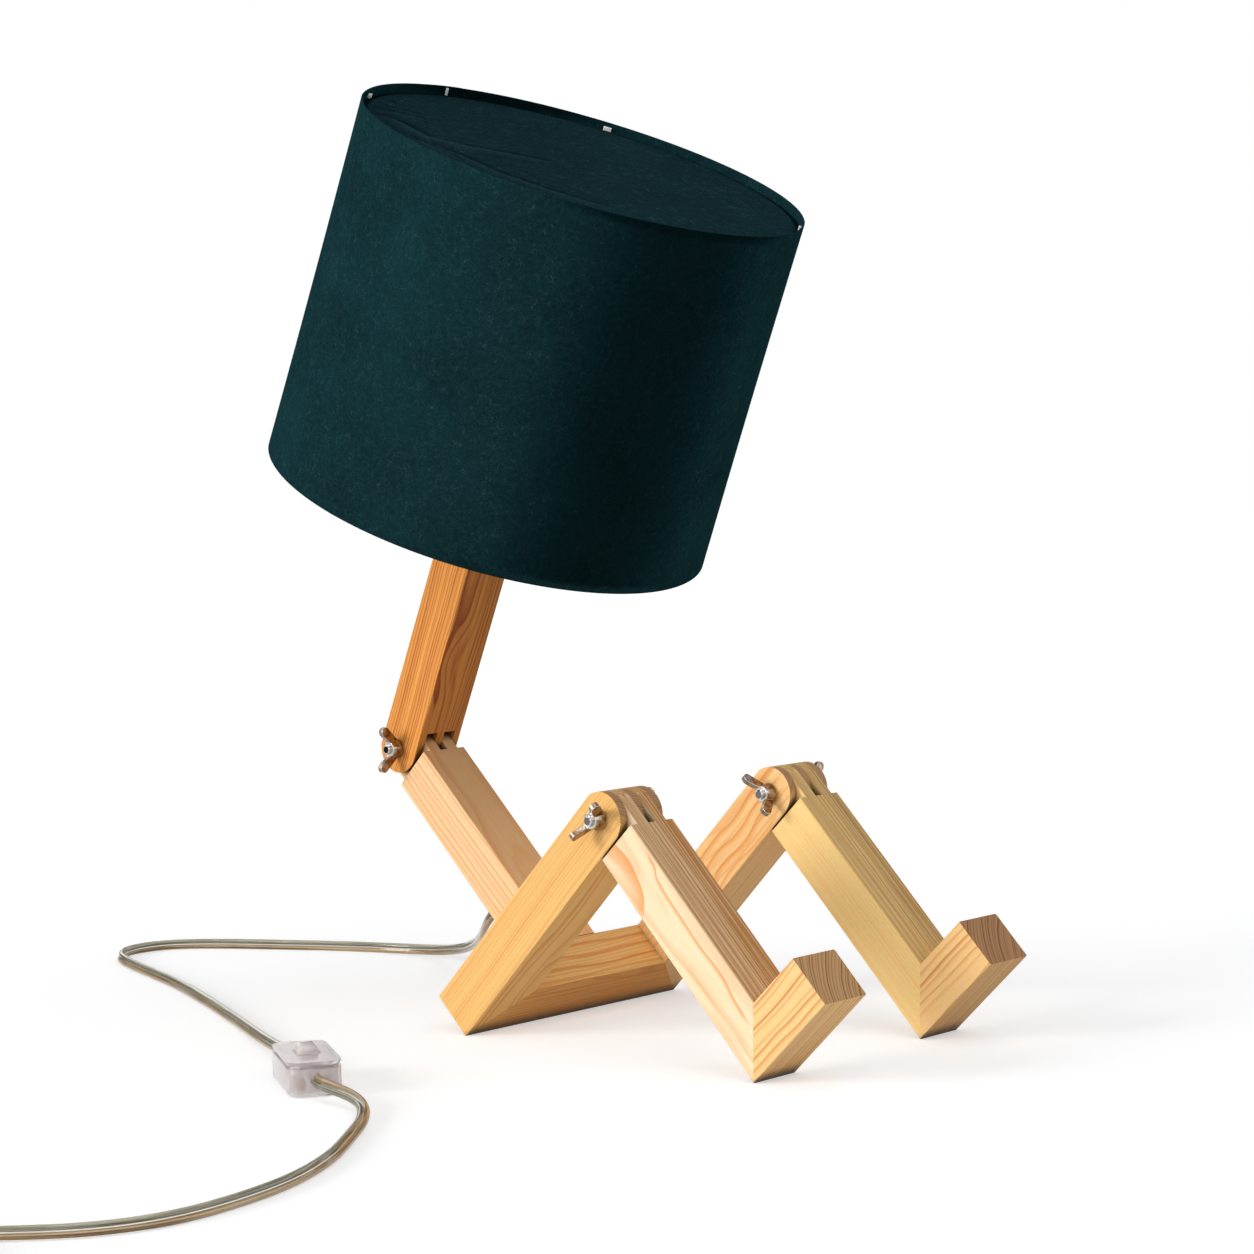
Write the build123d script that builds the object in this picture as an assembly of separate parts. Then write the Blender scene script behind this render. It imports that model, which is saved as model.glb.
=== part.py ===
from build123d import *
import os
from math import asin, atan2, cos, degrees, hypot, pi, radians, sin, tan

# Jointed desk lamp in the shape of a seated figure, in millimetres.
# +Z is up, the figure faces -Y and its left side is +X. The origin lies on the table,
# under the middle of the lamp without its flex.

# ---- Timber ----
bar_width = 32.0            # of every bar, across the figure
bar_depth = 28.0            # of every bar, in the side view
edge_round = 0.8            # rounding of the long edges
dowel_play = 0.05           # glue line round a dowel

# ---- Seat: crossbar and two thighs, mitred into a U ----
seat_span = 166.0           # outside width of the U
thigh_rise = 45.5           # degrees above the table
thigh_length = 158.0        # floor corner to knee pivot
hip_dowel_diameter = 6.0
hip_dowel_length = 20.0
hip_dowel_spacing = 16.0

# ---- Torso ----
torso_length = 155.0        # crossbar to neck pivot
torso_dowel_diameter = 8.0
torso_dowel_length = 38.0
torso_dowel_spacing = 16.0
flex_exit_height = 50.0     # of the flex's hole above the crossbar

# ---- Legs ----
shin_length = 156.0         # knee pivot to sole
foot_length = 63.0          # back of the heel to the toe end
foot_dowel_diameter = 6.0
foot_dowel_length = 18.0
foot_dowel_spacing = 16.0

# ---- Neck ----
neck_lean = 23.5            # degrees forward of upright
neck_length = 160.0         # pivot to the top of the bar

# ---- Five-finger hinge ----
ear_width = 5.2             # of each of the three ears on thigh and neck
finger_play = 0.1           # between neighbouring fingers, each side
shoulder_reach = 15.5       # pivot to the shoulders behind the fingers
pivot_play = 0.1            # radial, stud to timber
stud_diameter = 5.0
stud_show = 2.0             # of the stud past each wing nut
washer_diameter = 10.6
washer_thickness = 1.0
washer_play = 0.15

# ---- Wing nut ----
nut_hub_base = 11.0
nut_hub_top = 8.4
nut_hub_height = 6.5
nut_span = 26.0
nut_height = 13.0
nut_wing_thickness = 2.6
nut_wing_tip = 2.8          # radius of a wing's rounded tip
nut_wing_root = 2.4         # radius of a wing where it leaves the hub
nut_thread_play = 0.05

# ---- Flex, inner lead and its bush ----
flex_width = 6.0
lead_diameter = 5.6
lead_bore = 8.0
bush_sleeve_diameter = 8.6
bush_sleeve_length = 7.0
bush_flange_diameter = 12.6
bush_flange_thickness = 1.5
bush_play = 0.05
lead_bend = 6.0

# ---- Lampholder, on a threaded nipple ----
nipple_diameter = 10.0
nipple_bore = 6.2
nipple_sunk = 14.0
nipple_show = 9.0
holder_foot_diameter = 25.0
holder_diameter = 38.0
holder_cap_height = 12.0
holder_height = 54.0
holder_wall = 2.2
holder_flange_diameter = 44.0
holder_flange_thickness = 2.0
holder_flange_height = 28.0   # underside of the flange above the neck
insert_thickness = 8.0
insert_hole_diameter = 2.6
insert_hole_offset = 7.4
contact_diameter = 6.0
contact_height = 3.0
shell_inner_diameter = 26.8
shell_thickness = 0.8
shell_length = 22.0
shade_nut_diameter = 48.0
shade_nut_height = 7.0
shade_nut_notch = 1.4       # radius of each grip notch
shade_nut_notch_count = 12
seat_play = 0.05            # flange to gimbal ring and gimbal ring to nut
fit_play = 0.1

# ---- Bulb ----
bulb_cap_diameter = 26.4
bulb_cap_length = 25.0
bulb_diameter = 60.0
bulb_length = 105.0
bulb_throat_diameter = 28.0
bulb_glass = 1.0
bulb_throat_lean = 22.0     # degrees, glass where the throat meets the ball
bulb_eyelet_diameter = 9.0
bulb_eyelet_height = 2.0
bulb_cap_cone = 5.0         # height of the cap's sloping end

# ---- Shade ----
shade_start = 153.0         # neck pivot to the plane of the lower rim
shade_height = 200.0
shade_lower_diameter = 250.0
shade_taper = 4.0           # lower less upper diameter
shade_wall = 1.0
ring_wire = 3.0
ring_play = 0.05
spoke_count = 3
gimbal_width = 5.0
gimbal_thickness = 1.5
gimbal_play = 0.5
spoke_sunk = 1.0            # of each spoke's end in the gimbal ring
cover_recess = 4.9          # rim to the top cover
cover_thickness = 1.0
cover_play = 0.5
hoop_wire = 2.4
clip_width = 4.2
clip_wall = 1.2
clip_below_rim = 0.7
clip_angles = (-155.0, -108.0, -59.5, 38.5, 86.5, 125.0, 167.0)

# ---- Inline switch ----
switch_centre = (-219.0, 8.8)
switch_heading = 58.0       # degrees from +X to the end that faces the lamp
switch_length = 55.0
switch_width = 27.0
switch_height = 17.4
switch_split = 14.2         # height of the seam
switch_wall = 1.6
switch_corner = 4.0
switch_edge = 2.0
switch_flex_height = 8.6
rocker_radius = 9.5
rocker_width = 12.0
rocker_axis_height = 11.2
rocker_play = 0.35          # rocker to the sides and ends of its window
rocker_pin_diameter = 2.4
rocker_pin_play = 0.1
rocker_round = 1.2
rocker_tilt = 7.0           # degrees from level, to either side
finger_hollow_radius = 14.0
finger_hollow_depth = 0.6
flex_grip = 4.0             # of the flex inside each end of the switch
flex_play = 0.05
terminal_size = (8.0, 4.4, 6.0)
terminal_offset = 6.0
terminal_reach = 14.5
terminal_hole_diameter = 2.2
switch_screw_diameter = 2.6
switch_screw_head = 4.8
switch_screw_head_height = 1.0
switch_screw_bite = 1.5     # of a screw in the upper shell
switch_screw_places = ((22.0, 8.4), (-22.0, -8.4))
switch_boss_diameter = 6.2

# ---- Coil of the flex that is put away, and the plug ----
coil_centre = (-548.0, -97.0)
coil_radius = 33.0          # middle of the turns
coil_turns_across = 2
coil_turns_high = 2
coil_corner = 2.9
coil_entry_angle = 46.0     # where the flex runs into the coil
table_play = 0.1            # under the flex
flex_hang = 9.0             # straight out of the bush
flex_straight = 8.0         # straight out of the switch, from inside it
plug_heading = -94.0        # degrees from +X to its pins
plug_tail = 46.0            # of flex between coil and plug
plug_length = 36.0
plug_width = 35.3
plug_tail_width = 15.0
plug_taper_share = 0.6      # of its length, tail to full width
plug_thickness = 13.7
plug_relief_length = 20.0
plug_relief_diameter = 9.0
plug_relief_start = 7.6
plug_ridge = 1.6            # length of each grip ridge
plug_ridge_count = 4
plug_corner = 3.0
plug_edge = 2.2
pin_diameter = 4.0
pin_length = 19.0
pin_spacing = 18.6
pin_root = 6.0              # of each pin inside the plug
pin_root_diameter = 3.2

# ---- Route of the flex over the table: x, y and the height of its middle ----
lamp_to_switch = [
    (2.4, 104.5, 43.2),
    (9.0, 114.0, 37.2),
    (23.0, 131.0, 29.0),
    (43.0, 156.5, 20.0),
    (63.0, 188.0, 11.2),
    (77.0, 223.0, 5.2),
    (75.5, 258.0, 3.2),
    (62.0, 292.0, 3.1),
    (45.0, 324.0, 3.1),
    (25.0, 360.0, 3.1),
    (7.0, 383.5, 3.1),
    (-10.0, 392.0, 3.1),
    (-27.5, 391.5, 3.1),
    (-42.0, 382.0, 3.1),
    (-53.0, 363.5, 3.1),
    (-65.0, 330.0, 3.1),
    (-84.0, 274.0, 3.1),
    (-111.0, 213.0, 3.1),
    (-141.5, 150.5, 3.2),
    (-169.5, 97.5, 4.6),
    (-187.2, 64.8, 6.8),
    (-196.8, 45.8, 8.2),
]
switch_to_coil = [
    (-238.3, -26.0, 8.4),
    (-238.8, -35.0, 7.6),
    (-239.6, -44.5, 6.5),
    (-242.2, -54.0, 5.2),
    (-248.0, -63.5, 4.2),
    (-257.0, -73.5, 3.5),
    (-270.0, -85.0, 3.1),
    (-288.5, -98.5, 3.1),
    (-319.0, -121.0, 3.1),
    (-357.0, -139.5, 3.1),
    (-396.0, -148.0, 3.1),
    (-432.0, -149.0, 3.1),
    (-463.0, -137.0, 3.1),
    (-489.0, -112.0, 3.1),
]


def heading(angle):
    """Unit vector in the side view, angle degrees above straight ahead."""
    return Vector(0, -cos(radians(angle)), sin(radians(angle)))


def side_frame(origin, angle, x=0.0):
    """Frame of a bar in the side view: Z along the bar, X across the figure."""
    return Plane(origin=(x, origin.Y, origin.Z), x_dir=(1, 0, 0), z_dir=heading(angle))


# ---- Where the pieces meet ----
half_depth = bar_depth / 2
torso_angle = thigh_rise + 90.0
neck_angle = 90.0 - neck_lean
along_thigh = heading(thigh_rise)
above_thigh = heading(torso_angle)

# The crossbar stands on one rounded edge, whose lowest line is on the table.
corner_drop = edge_round * (along_thigh.Z + above_thigh.Z - 1.0)
knee_height = (thigh_length * along_thigh + half_depth * above_thigh).Z - corner_drop
shin_fall = asin(knee_height / hypot(shin_length, half_depth)) - atan2(half_depth, shin_length)
shin_angle = -degrees(shin_fall)
foot_angle = shin_angle + 90.0

corner_to_knee = thigh_length * along_thigh + half_depth * above_thigh
corner_to_torso = (bar_width - half_depth) * along_thigh + bar_depth * above_thigh
corner_to_neck = corner_to_torso + torso_length * above_thigh
toe = corner_to_knee + shin_length * heading(shin_angle)
toe += (foot_length - half_depth) * heading(foot_angle)
lower_rim = corner_to_neck + shade_start * heading(neck_angle)
lower_rim -= shade_lower_diameter / 2 * heading(neck_angle - 90.0)

corner = Vector(0, -(toe.Y + lower_rim.Y) / 2, -corner_drop)
knee = corner + corner_to_knee
neck_pivot = corner + corner_to_neck
leg_x = (seat_span - bar_width) / 2

seat_frame = side_frame(corner, thigh_rise)
torso_frame = side_frame(corner + corner_to_torso, torso_angle)
neck_frame = side_frame(neck_pivot, neck_angle)

slot_width = (bar_width - 3 * ear_width) / 2
slot_centre = (ear_width + slot_width) / 2
outer_gap = ear_width + finger_play
fork_gaps = [(-slot_centre, slot_width), (slot_centre, slot_width)]
tongue_gaps = [
    (-(bar_width - outer_gap) / 2, outer_gap),
    (0.0, ear_width + 2 * finger_play),
    ((bar_width - outer_gap) / 2, outer_gap),
]


# ---- General shapes ----
from_base = (Align.CENTER, Align.CENTER, Align.MIN)


def round_bar(radius, start, end):
    """Cylinder on the local Z axis between two heights."""
    return Pos(0, 0, start) * Cylinder(radius, end - start, align=from_base)


def tube(outer, inner, start, end):
    return round_bar(outer, start, end) - round_bar(inner, start - 1, end + 1)


def turned(*outline):
    """Solid of revolution about Z from (radius, height) points."""
    face = make_face(Plane.XZ * Polyline(*outline, close=True))
    return revolve(face, Axis.Z)


def wire_ring(radius, wire, height):
    return Pos(0, 0, height) * Torus(radius, wire / 2)


def crosswise(x):
    """Location whose Z axis points along X, at a distance x across the figure."""
    return Pos(x, 0, 0) * Rot(0, 90, 0)


def solids_of(shapes, place=Location()):
    return Compound([place * solid for shape in shapes for solid in shape.solids()])


# ---- Timber pieces ----
def timber(length):
    return extrude(RectangleRounded(bar_width, bar_depth, edge_round), length)


def hinge_end(bar, pivot, outward, gaps):
    """Rounds a bar's end about the pivot, cuts the gaps between its fingers and bores it for the stud.

    pivot is the height of the pivot on the bar, outward is 1 or -1 towards the end.
    """
    reach = shoulder_reach + half_depth
    past_pivot = Pos(0, 0, pivot + outward * reach) * Box(2 * bar_width, 2 * bar_depth, 2 * reach)
    nose = Pos(0, 0, pivot) * crosswise(0) * Cylinder(half_depth, 2 * bar_width)
    bar = (bar - past_pivot) + (bar & past_pivot & nose)
    middle = pivot + outward * (reach - shoulder_reach)
    for x, width in gaps:
        bar -= Pos(x, 0, middle) * Box(width, 2 * bar_depth, 2 * reach)
    stud_hole = Cylinder(stud_diameter / 2 + pivot_play, 2 * bar_width)
    return bar - Pos(0, 0, pivot) * crosswise(0) * stud_hole


def mitre_wedge(inner, outer, far):
    """Triangular prism that takes the end off a bar at a mitre, from points (x, z)."""
    return extrude(Plane.XZ * make_face(Polyline(inner, outer, far, close=True)), 2 * bar_depth, both=True)


def hip_dowels(side):
    """Places of one hip mitre's dowels: Z runs square to the mitre."""
    middle = Pos(side * leg_x, half_depth, bar_width / 2) * Rot(0, side * 45, 0)
    return [middle * Pos(x, 0, 0) for x in (-hip_dowel_spacing / 2, hip_dowel_spacing / 2)]


def dowel_at(places, diameter, length):
    return [place * Cylinder(diameter / 2, length) for place in places]


def without_dowels(bar, places, diameter, length):
    for hole in dowel_at(places, diameter + 2 * dowel_play, length + 2 * dowel_play):
        bar -= hole
    return bar


def drilled_for_hips(bar, sides):
    for side in sides:
        bar = without_dowels(bar, hip_dowels(side), hip_dowel_diameter, hip_dowel_length)
    return bar


def torso_dowel_places():
    half = torso_dowel_spacing / 2
    return [torso_frame.location * Pos(x, 0, 0) for x in (-half, half)]


def hip_crossbar():
    half_span = seat_span / 2
    section = Plane.YZ * Pos(half_depth, bar_width / 2) * RectangleRounded(bar_depth, bar_width, edge_round)
    bar = extrude(section, half_span, both=True)
    for side in (-1, 1):
        outer, inner = side * half_span, side * (half_span - bar_width)
        bar -= mitre_wedge((outer, 0), (inner, bar_width), (outer + side * bar_width, bar_width))
    bar = seat_frame.location * drilled_for_hips(bar, (-1, 1))
    return without_dowels(bar, torso_dowel_places(), torso_dowel_diameter, torso_dowel_length)


def thigh(side):
    bar = hinge_end(timber(thigh_length + half_depth), thigh_length, 1, fork_gaps)
    bar = Pos(side * leg_x, half_depth, 0) * bar
    outer, inner = side * seat_span / 2, side * (seat_span / 2 - bar_width)
    bar -= mitre_wedge((outer, 0), (inner, bar_width), (inner, -bar_width))
    return seat_frame.location * drilled_for_hips(bar, (side,))


def torso():
    bar = hinge_end(timber(torso_length + half_depth), torso_length, 1, tongue_gaps)
    bar -= round_bar(lead_bore / 2, flex_exit_height - lead_bore / 2, torso_length - shoulder_reach + 1)
    bush_hole = round_bar(bush_sleeve_diameter / 2 + bush_play, 0, bar_depth)
    bar -= Pos(0, 0, flex_exit_height) * Rot(-90, 0, 0) * bush_hole
    bar = torso_frame.location * bar
    return without_dowels(bar, torso_dowel_places(), torso_dowel_diameter, torso_dowel_length)


def neck():
    bar = Pos(0, 0, -half_depth) * timber(neck_length + half_depth)
    bar = hinge_end(bar, 0.0, -1, fork_gaps)
    bar -= round_bar(lead_bore / 2, shoulder_reach - 1, neck_length + 1)
    bar -= round_bar(nipple_diameter / 2 + dowel_play, neck_length - nipple_sunk, neck_length + 1)
    return neck_frame.location * bar


def leg_frame(side):
    return side_frame(knee, shin_angle, side * leg_x).location


def foot_dowel_places(side):
    middle = leg_frame(side) * Pos(0, 0, shin_length - half_depth) * Rot(-45, 0, 0)
    return [middle * Pos(x, 0, 0) for x in (-foot_dowel_spacing / 2, foot_dowel_spacing / 2)]


def ankle_wedge(side_point):
    """Takes off one side of the ankle's mitre, whose line runs from heel to instep."""
    heel = (-half_depth, shin_length)
    instep = (half_depth, shin_length - bar_depth)
    face = make_face(Plane.YZ * Polyline(heel, instep, side_point, close=True))
    return extrude(face, bar_width, both=True)


def shin(side):
    bar = Pos(0, 0, -half_depth) * timber(shin_length + half_depth)
    bar = hinge_end(bar, 0.0, -1, tongue_gaps)
    bar -= ankle_wedge((half_depth, shin_length))
    bar = leg_frame(side) * bar
    return without_dowels(bar, foot_dowel_places(side), foot_dowel_diameter, foot_dowel_length)


def foot(side):
    section = Plane.XZ * RectangleRounded(bar_width, bar_depth, edge_round)
    bar = Pos(0, -half_depth, shin_length - half_depth) * extrude(section, -foot_length)
    bar -= ankle_wedge((-half_depth, shin_length - bar_depth))
    bar = leg_frame(side) * bar
    return without_dowels(bar, foot_dowel_places(side), foot_dowel_diameter, foot_dowel_length)


# ---- Hinge hardware, in a frame whose Z runs along the pivot ----
def stud():
    half_length = bar_width / 2 + washer_thickness + nut_hub_height + stud_show
    rod = Cylinder(stud_diameter / 2, 2 * half_length)
    return chamfer(rod.edges().filter_by(GeomType.CIRCLE), stud_diameter / 10)


def washers():
    one = tube(washer_diameter / 2, stud_diameter / 2 + washer_play, 0, washer_thickness)
    return [Rot(0, turn, 0) * Pos(0, 0, bar_width / 2) * one for turn in (0, 180)]


def wing_nut(wing_angle):
    """Wing nut with its base at the origin and its stud along Z."""
    hub = turned((0, 0), (nut_hub_base / 2, 0), (nut_hub_top / 2, nut_hub_height), (0, nut_hub_height))
    tip = (nut_span / 2 - nut_wing_tip, nut_height - nut_wing_tip)
    root = (nut_hub_top / 2, nut_hub_height / 2)
    nut = hub
    for side in (-1, 1):
        outline = make_hull(
            (Pos(side * tip[0], tip[1]) * Circle(nut_wing_tip)).edges()
            + (Pos(side * root[0], root[1]) * Circle(nut_wing_root)).edges()
        )
        nut += extrude(Plane.XZ * outline, nut_wing_thickness / 2, both=True)
    nut -= round_bar(stud_diameter / 2 + nut_thread_play, -1, nut_height)
    return Rot(0, 0, wing_angle) * nut


def nut_seat(pivot, x, side):
    """Frame on the outer face of a hinge's washer; side is -1 or 1 across the figure."""
    seat = bar_width / 2 + washer_thickness
    return Plane(origin=(x + side * seat, pivot.Y, pivot.Z), x_dir=(0, -1, 0), z_dir=(side, 0, 0)).location


def hinge_hardware(name, pivot, x, wing_angles):
    across = Pos(x, pivot.Y, pivot.Z) * crosswise(0)
    pieces = {
        f"{name}_stud": across * stud(),
        f"{name}_washers": solids_of([across * washer for washer in washers()]),
    }
    for side, word in ((-1, "right"), (1, "left")):
        # Seen from either side a wing angle is measured up from straight ahead.
        angle = -side * wing_angles[word]
        pieces[f"{name}_{word}_wing_nut"] = nut_seat(pivot, x, side) * wing_nut(angle)
    return pieces


# ---- Bush and inner leads ----
bush_seat = torso_frame.location * Pos(0, half_depth, flex_exit_height) * Rot(-90, 0, 0)


def flex_bush():
    sleeve = tube(bush_sleeve_diameter / 2, flex_width / 2, -bush_sleeve_length, bush_flange_thickness)
    flange = tube(bush_flange_diameter / 2, flex_width / 2, 0, bush_flange_thickness)
    return bush_seat * (sleeve + flange)


def torso_lead():
    mouth = (0, half_depth + bush_flange_thickness, flex_exit_height)
    turn = (0, 0, flex_exit_height)
    top = (0, 0, torso_length - shoulder_reach - 1)
    path = FilletPolyline(mouth, turn, top, radius=lead_bend)
    section = Plane(origin=mouth, z_dir=(0, -1, 0)) * Circle(lead_diameter / 2)
    return torso_frame.location * sweep(section, path=path)


def neck_lead():
    top = neck_length + holder_cap_height
    return neck_frame.location * round_bar(lead_diameter / 2, shoulder_reach + 1, top)


# ---- Lampholder and bulb, in the neck's frame ----
flange_top = holder_flange_height + holder_flange_thickness
insert_top = holder_cap_height + insert_thickness


def on_neck(solid):
    return neck_frame.location * Pos(0, 0, neck_length) * solid


def lampholder_nipple():
    return on_neck(tube(nipple_diameter / 2, nipple_bore / 2, -nipple_sunk, nipple_show))


def lampholder_cap():
    foot_radius, radius = holder_foot_diameter / 2, holder_diameter / 2
    shoulder = holder_cap_height / 3
    outside = turned(
        (0, 0),
        (foot_radius, 0),
        (radius - holder_wall, shoulder),
        (radius, holder_cap_height),
        (0, holder_cap_height),
    )
    hollow = turned(
        (0, holder_wall),
        (foot_radius - holder_wall, holder_wall),
        (radius - 2 * holder_wall, shoulder + holder_wall),
        (radius - holder_wall, holder_cap_height + 1),
        (0, holder_cap_height + 1),
    )
    return on_neck(outside - hollow - round_bar(nipple_diameter / 2 + dowel_play, -1, holder_cap_height))


def lampholder_body():
    radius = holder_diameter / 2
    body = tube(radius, radius - holder_wall, holder_cap_height, holder_height)
    body += tube(holder_flange_diameter / 2, radius - holder_wall, holder_flange_height, flange_top)
    return on_neck(body)


def lampholder_insert():
    radius = holder_diameter / 2 - holder_wall - dowel_play
    insert = round_bar(radius, holder_cap_height, insert_top)
    for x in (-insert_hole_offset, insert_hole_offset):
        insert -= Pos(x, 0, 0) * round_bar(insert_hole_diameter / 2, 0, insert_top + 1)
    return on_neck(insert)


def lampholder_contact():
    return on_neck(round_bar(contact_diameter / 2, insert_top, insert_top + contact_height))


def lampholder_screw_shell():
    inner = shell_inner_diameter / 2
    shell = tube(inner + shell_thickness, inner, insert_top, insert_top + shell_length)
    return on_neck(shell)


def shade_nut():
    inner = holder_diameter / 2 + fit_play
    start = flange_top + gimbal_thickness + 2 * seat_play
    nut = tube(shade_nut_diameter / 2, inner, start, start + shade_nut_height)
    middle = start + shade_nut_height / 2
    notch = Pos(shade_nut_diameter / 2, 0, middle) * Cylinder(shade_nut_notch, shade_nut_height + 1)
    for number in range(shade_nut_notch_count):
        nut -= Rot(0, 0, 360 / shade_nut_notch_count * number) * notch
    return on_neck(nut)


bulb_base = insert_top + contact_height


def bulb_cap():
    radius, tip = bulb_cap_diameter / 2, bulb_eyelet_diameter / 2
    shoulder = bulb_base + bulb_eyelet_height
    top = bulb_base + bulb_cap_length
    return on_neck(
        turned(
            (0, bulb_base),
            (tip, bulb_base),
            (tip, shoulder),
            (radius, shoulder + bulb_cap_cone),
            (radius, top),
            (0, top),
        )
    )


def pear(ball, throat, middle, start):
    """Solid pear about Z: a ball round a height that runs down into a throat."""
    lean = radians(bulb_throat_lean)
    joint = (ball * cos(lean), middle - ball * sin(lean))
    quarter = (ball * cos(pi / 4), middle + ball * sin(pi / 4))
    profile = Polyline((0, start), (throat, start))
    profile += Spline((throat, start), joint, tangents=[(0, 1), (sin(lean), cos(lean))])
    profile += ThreePointArc(joint, quarter, (0, middle + ball))
    profile += Line((0, middle + ball), (0, start))
    return revolve(Plane.XZ * make_face(profile), Axis.Z)


def bulb_globe():
    """Hollow glass, open where it is cemented into the cap."""
    ball, throat = bulb_diameter / 2, bulb_throat_diameter / 2
    middle = bulb_base + bulb_length - ball
    start = bulb_base + bulb_cap_length
    hollow = pear(ball - bulb_glass, throat - bulb_glass, middle, start)
    hollow += round_bar(throat - bulb_glass, start - 1, start + bulb_glass)
    return on_neck(pear(ball, throat, middle, start) - hollow)


# ---- Shade, in the neck's frame ----
shade_top = shade_start + shade_height
shade_upper_diameter = shade_lower_diameter - shade_taper


def shade_radius(height):
    """Outer radius of the shade at a height on the neck's axis."""
    share = (height - shade_start) / shade_height
    return (shade_lower_diameter + share * (shade_upper_diameter - shade_lower_diameter)) / 2


def ring_place(height):
    """Middle radius of a wire ring that lies just inside the shade's wall."""
    return shade_radius(height) - shade_wall - ring_play - ring_wire / 2


cover_top = shade_top - cover_recess
cover_radius = shade_radius(cover_top) - shade_wall - cover_play
hoop_height = cover_top - cover_thickness - ring_play - hoop_wire / 2
lower_ring_height = shade_start + ring_wire / 2 + ring_play
upper_ring_height = hoop_height - hoop_wire / 2 - ring_play - ring_wire / 2


def shade_fabric():
    wall = turned(
        (shade_radius(shade_start), shade_start),
        (shade_radius(shade_top), shade_top),
        (shade_radius(shade_top) - shade_wall, shade_top),
        (shade_radius(shade_start) - shade_wall, shade_start),
    )
    return neck_frame.location * wall


def shade_upper_ring():
    return neck_frame.location * wire_ring(ring_place(upper_ring_height), ring_wire, upper_ring_height)


def shade_fitter():
    """Lower wire ring, three sloping spokes and the gimbal ring that sits on the lampholder's flange."""
    seat = neck_length + flange_top + seat_play
    inner = holder_diameter / 2 + gimbal_play
    outer = inner + gimbal_width
    radius = ring_place(lower_ring_height)
    fitter = wire_ring(radius, ring_wire, lower_ring_height)
    fitter += tube(outer, inner, seat, seat + gimbal_thickness)
    start = Vector(outer - spoke_sunk, 0, seat + gimbal_thickness / 2)
    run = Vector(radius, 0, lower_ring_height) - start
    for number in range(spoke_count):
        spoke = Plane(origin=start, z_dir=run).location * round_bar(ring_wire / 2, 0, run.length)
        spoke -= round_bar(inner, 0, seat + 2 * ring_wire)
        fitter += Rot(0, 0, 90 + 360 / spoke_count * number) * spoke
    return neck_frame.location * fitter


def shade_cover():
    return neck_frame.location * round_bar(cover_radius, cover_top - cover_thickness, cover_top)


def shade_cover_hoop():
    return neck_frame.location * wire_ring(cover_radius - hoop_wire, hoop_wire, hoop_height)


def shade_clips():
    """Small plastic clips on the shade's wall that hold the cover down on its hoop and the upper ring."""
    outside = shade_radius(shade_top) - shade_wall - ring_play
    height = cover_recess - clip_below_rim
    clip = Pos(outside - clip_wall / 2, 0, cover_top) * Box(clip_wall, clip_width, height, align=from_base)
    return solids_of([Rot(0, 0, angle) * clip for angle in clip_angles], neck_frame.location)


# ---- Inline switch, in a frame whose X runs towards the lamp ----
switch_frame = Pos(*switch_centre, 0) * Rot(0, 0, switch_heading)


def switch_block(inset):
    """Outer form of the switch, or its hollow when inset by a wall."""
    length, width = switch_length - 2 * inset, switch_width - 2 * inset
    corner_radius = switch_corner - inset / 2
    block = extrude(RectangleRounded(length, width, corner_radius), switch_height - 2 * inset)
    block = Pos(0, 0, inset) * block
    ends = block.faces().sort_by(Axis.Z)
    rims = ends[0].edges() + ends[-1].edges()
    return fillet(rims, max(switch_edge - inset / 2, 0.4))


def flex_channel():
    channel = Cylinder(flex_width / 2 + flex_play, 2 * switch_length)
    return Pos(0, 0, switch_flex_height) * Rot(0, 90, 0) * channel


def switch_half(low, high):
    """Shell between two heights, with bosses for the screws."""
    keep = Pos(0, 0, (low + high) / 2) * Box(2 * switch_length, 2 * switch_width, high - low)
    hollow = switch_block(switch_wall)
    for x, y in switch_screw_places:
        hollow -= Pos(x, y, 0) * round_bar(switch_boss_diameter / 2, 0, switch_height)
    return (switch_block(0) - hollow - flex_channel()) & keep


def screw_holes(radius, start, end):
    return [Pos(x, y, 0) * round_bar(radius, start, end) for x, y in switch_screw_places]


def switch_lower_shell():
    shell = switch_half(0, switch_split)
    for hole in screw_holes(switch_screw_head / 2 + dowel_play, -1, switch_screw_head_height):
        shell -= hole
    for hole in screw_holes(switch_screw_diameter / 2 + dowel_play, -1, switch_height):
        shell -= hole
    return switch_frame * shell


def switch_upper_shell():
    shell = switch_half(switch_split, switch_height)
    window = Rot(90, 0, 0) * Cylinder(rocker_radius + rocker_play, rocker_width + 2 * rocker_play)
    shell -= Pos(0, 0, rocker_axis_height) * window
    for hole in screw_holes(switch_screw_diameter / 2 + dowel_play, 0, switch_split + switch_screw_bite):
        shell -= hole
    return switch_frame * shell


def switch_rocker():
    """Barrel-shaped rocker that turns about its own middle line, stored tipped to one side."""
    barrel = Rot(90, 0, 0) * Cylinder(rocker_radius, rocker_width)
    barrel = fillet(barrel.edges().filter_by(GeomType.CIRCLE), rocker_round)
    barrel -= Pos(0, 0, -rocker_radius) * Box(4 * rocker_radius, 2 * rocker_width, rocker_radius)
    hollow_height = rocker_radius + finger_hollow_radius - finger_hollow_depth
    barrel -= Pos(0, 0, hollow_height) * Rot(90, 0, 0) * Cylinder(finger_hollow_radius, 2 * rocker_width)
    barrel -= Rot(90, 0, 0) * Cylinder(rocker_pin_diameter / 2 + rocker_pin_play, 2 * rocker_width)
    return switch_frame * Pos(0, 0, rocker_axis_height) * Rot(0, -rocker_tilt, 0) * barrel


def switch_rocker_pin():
    pin = Cylinder(rocker_pin_diameter / 2, switch_width - 2 * switch_wall)
    return switch_frame * Pos(0, 0, rocker_axis_height) * Rot(90, 0, 0) * pin


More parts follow.
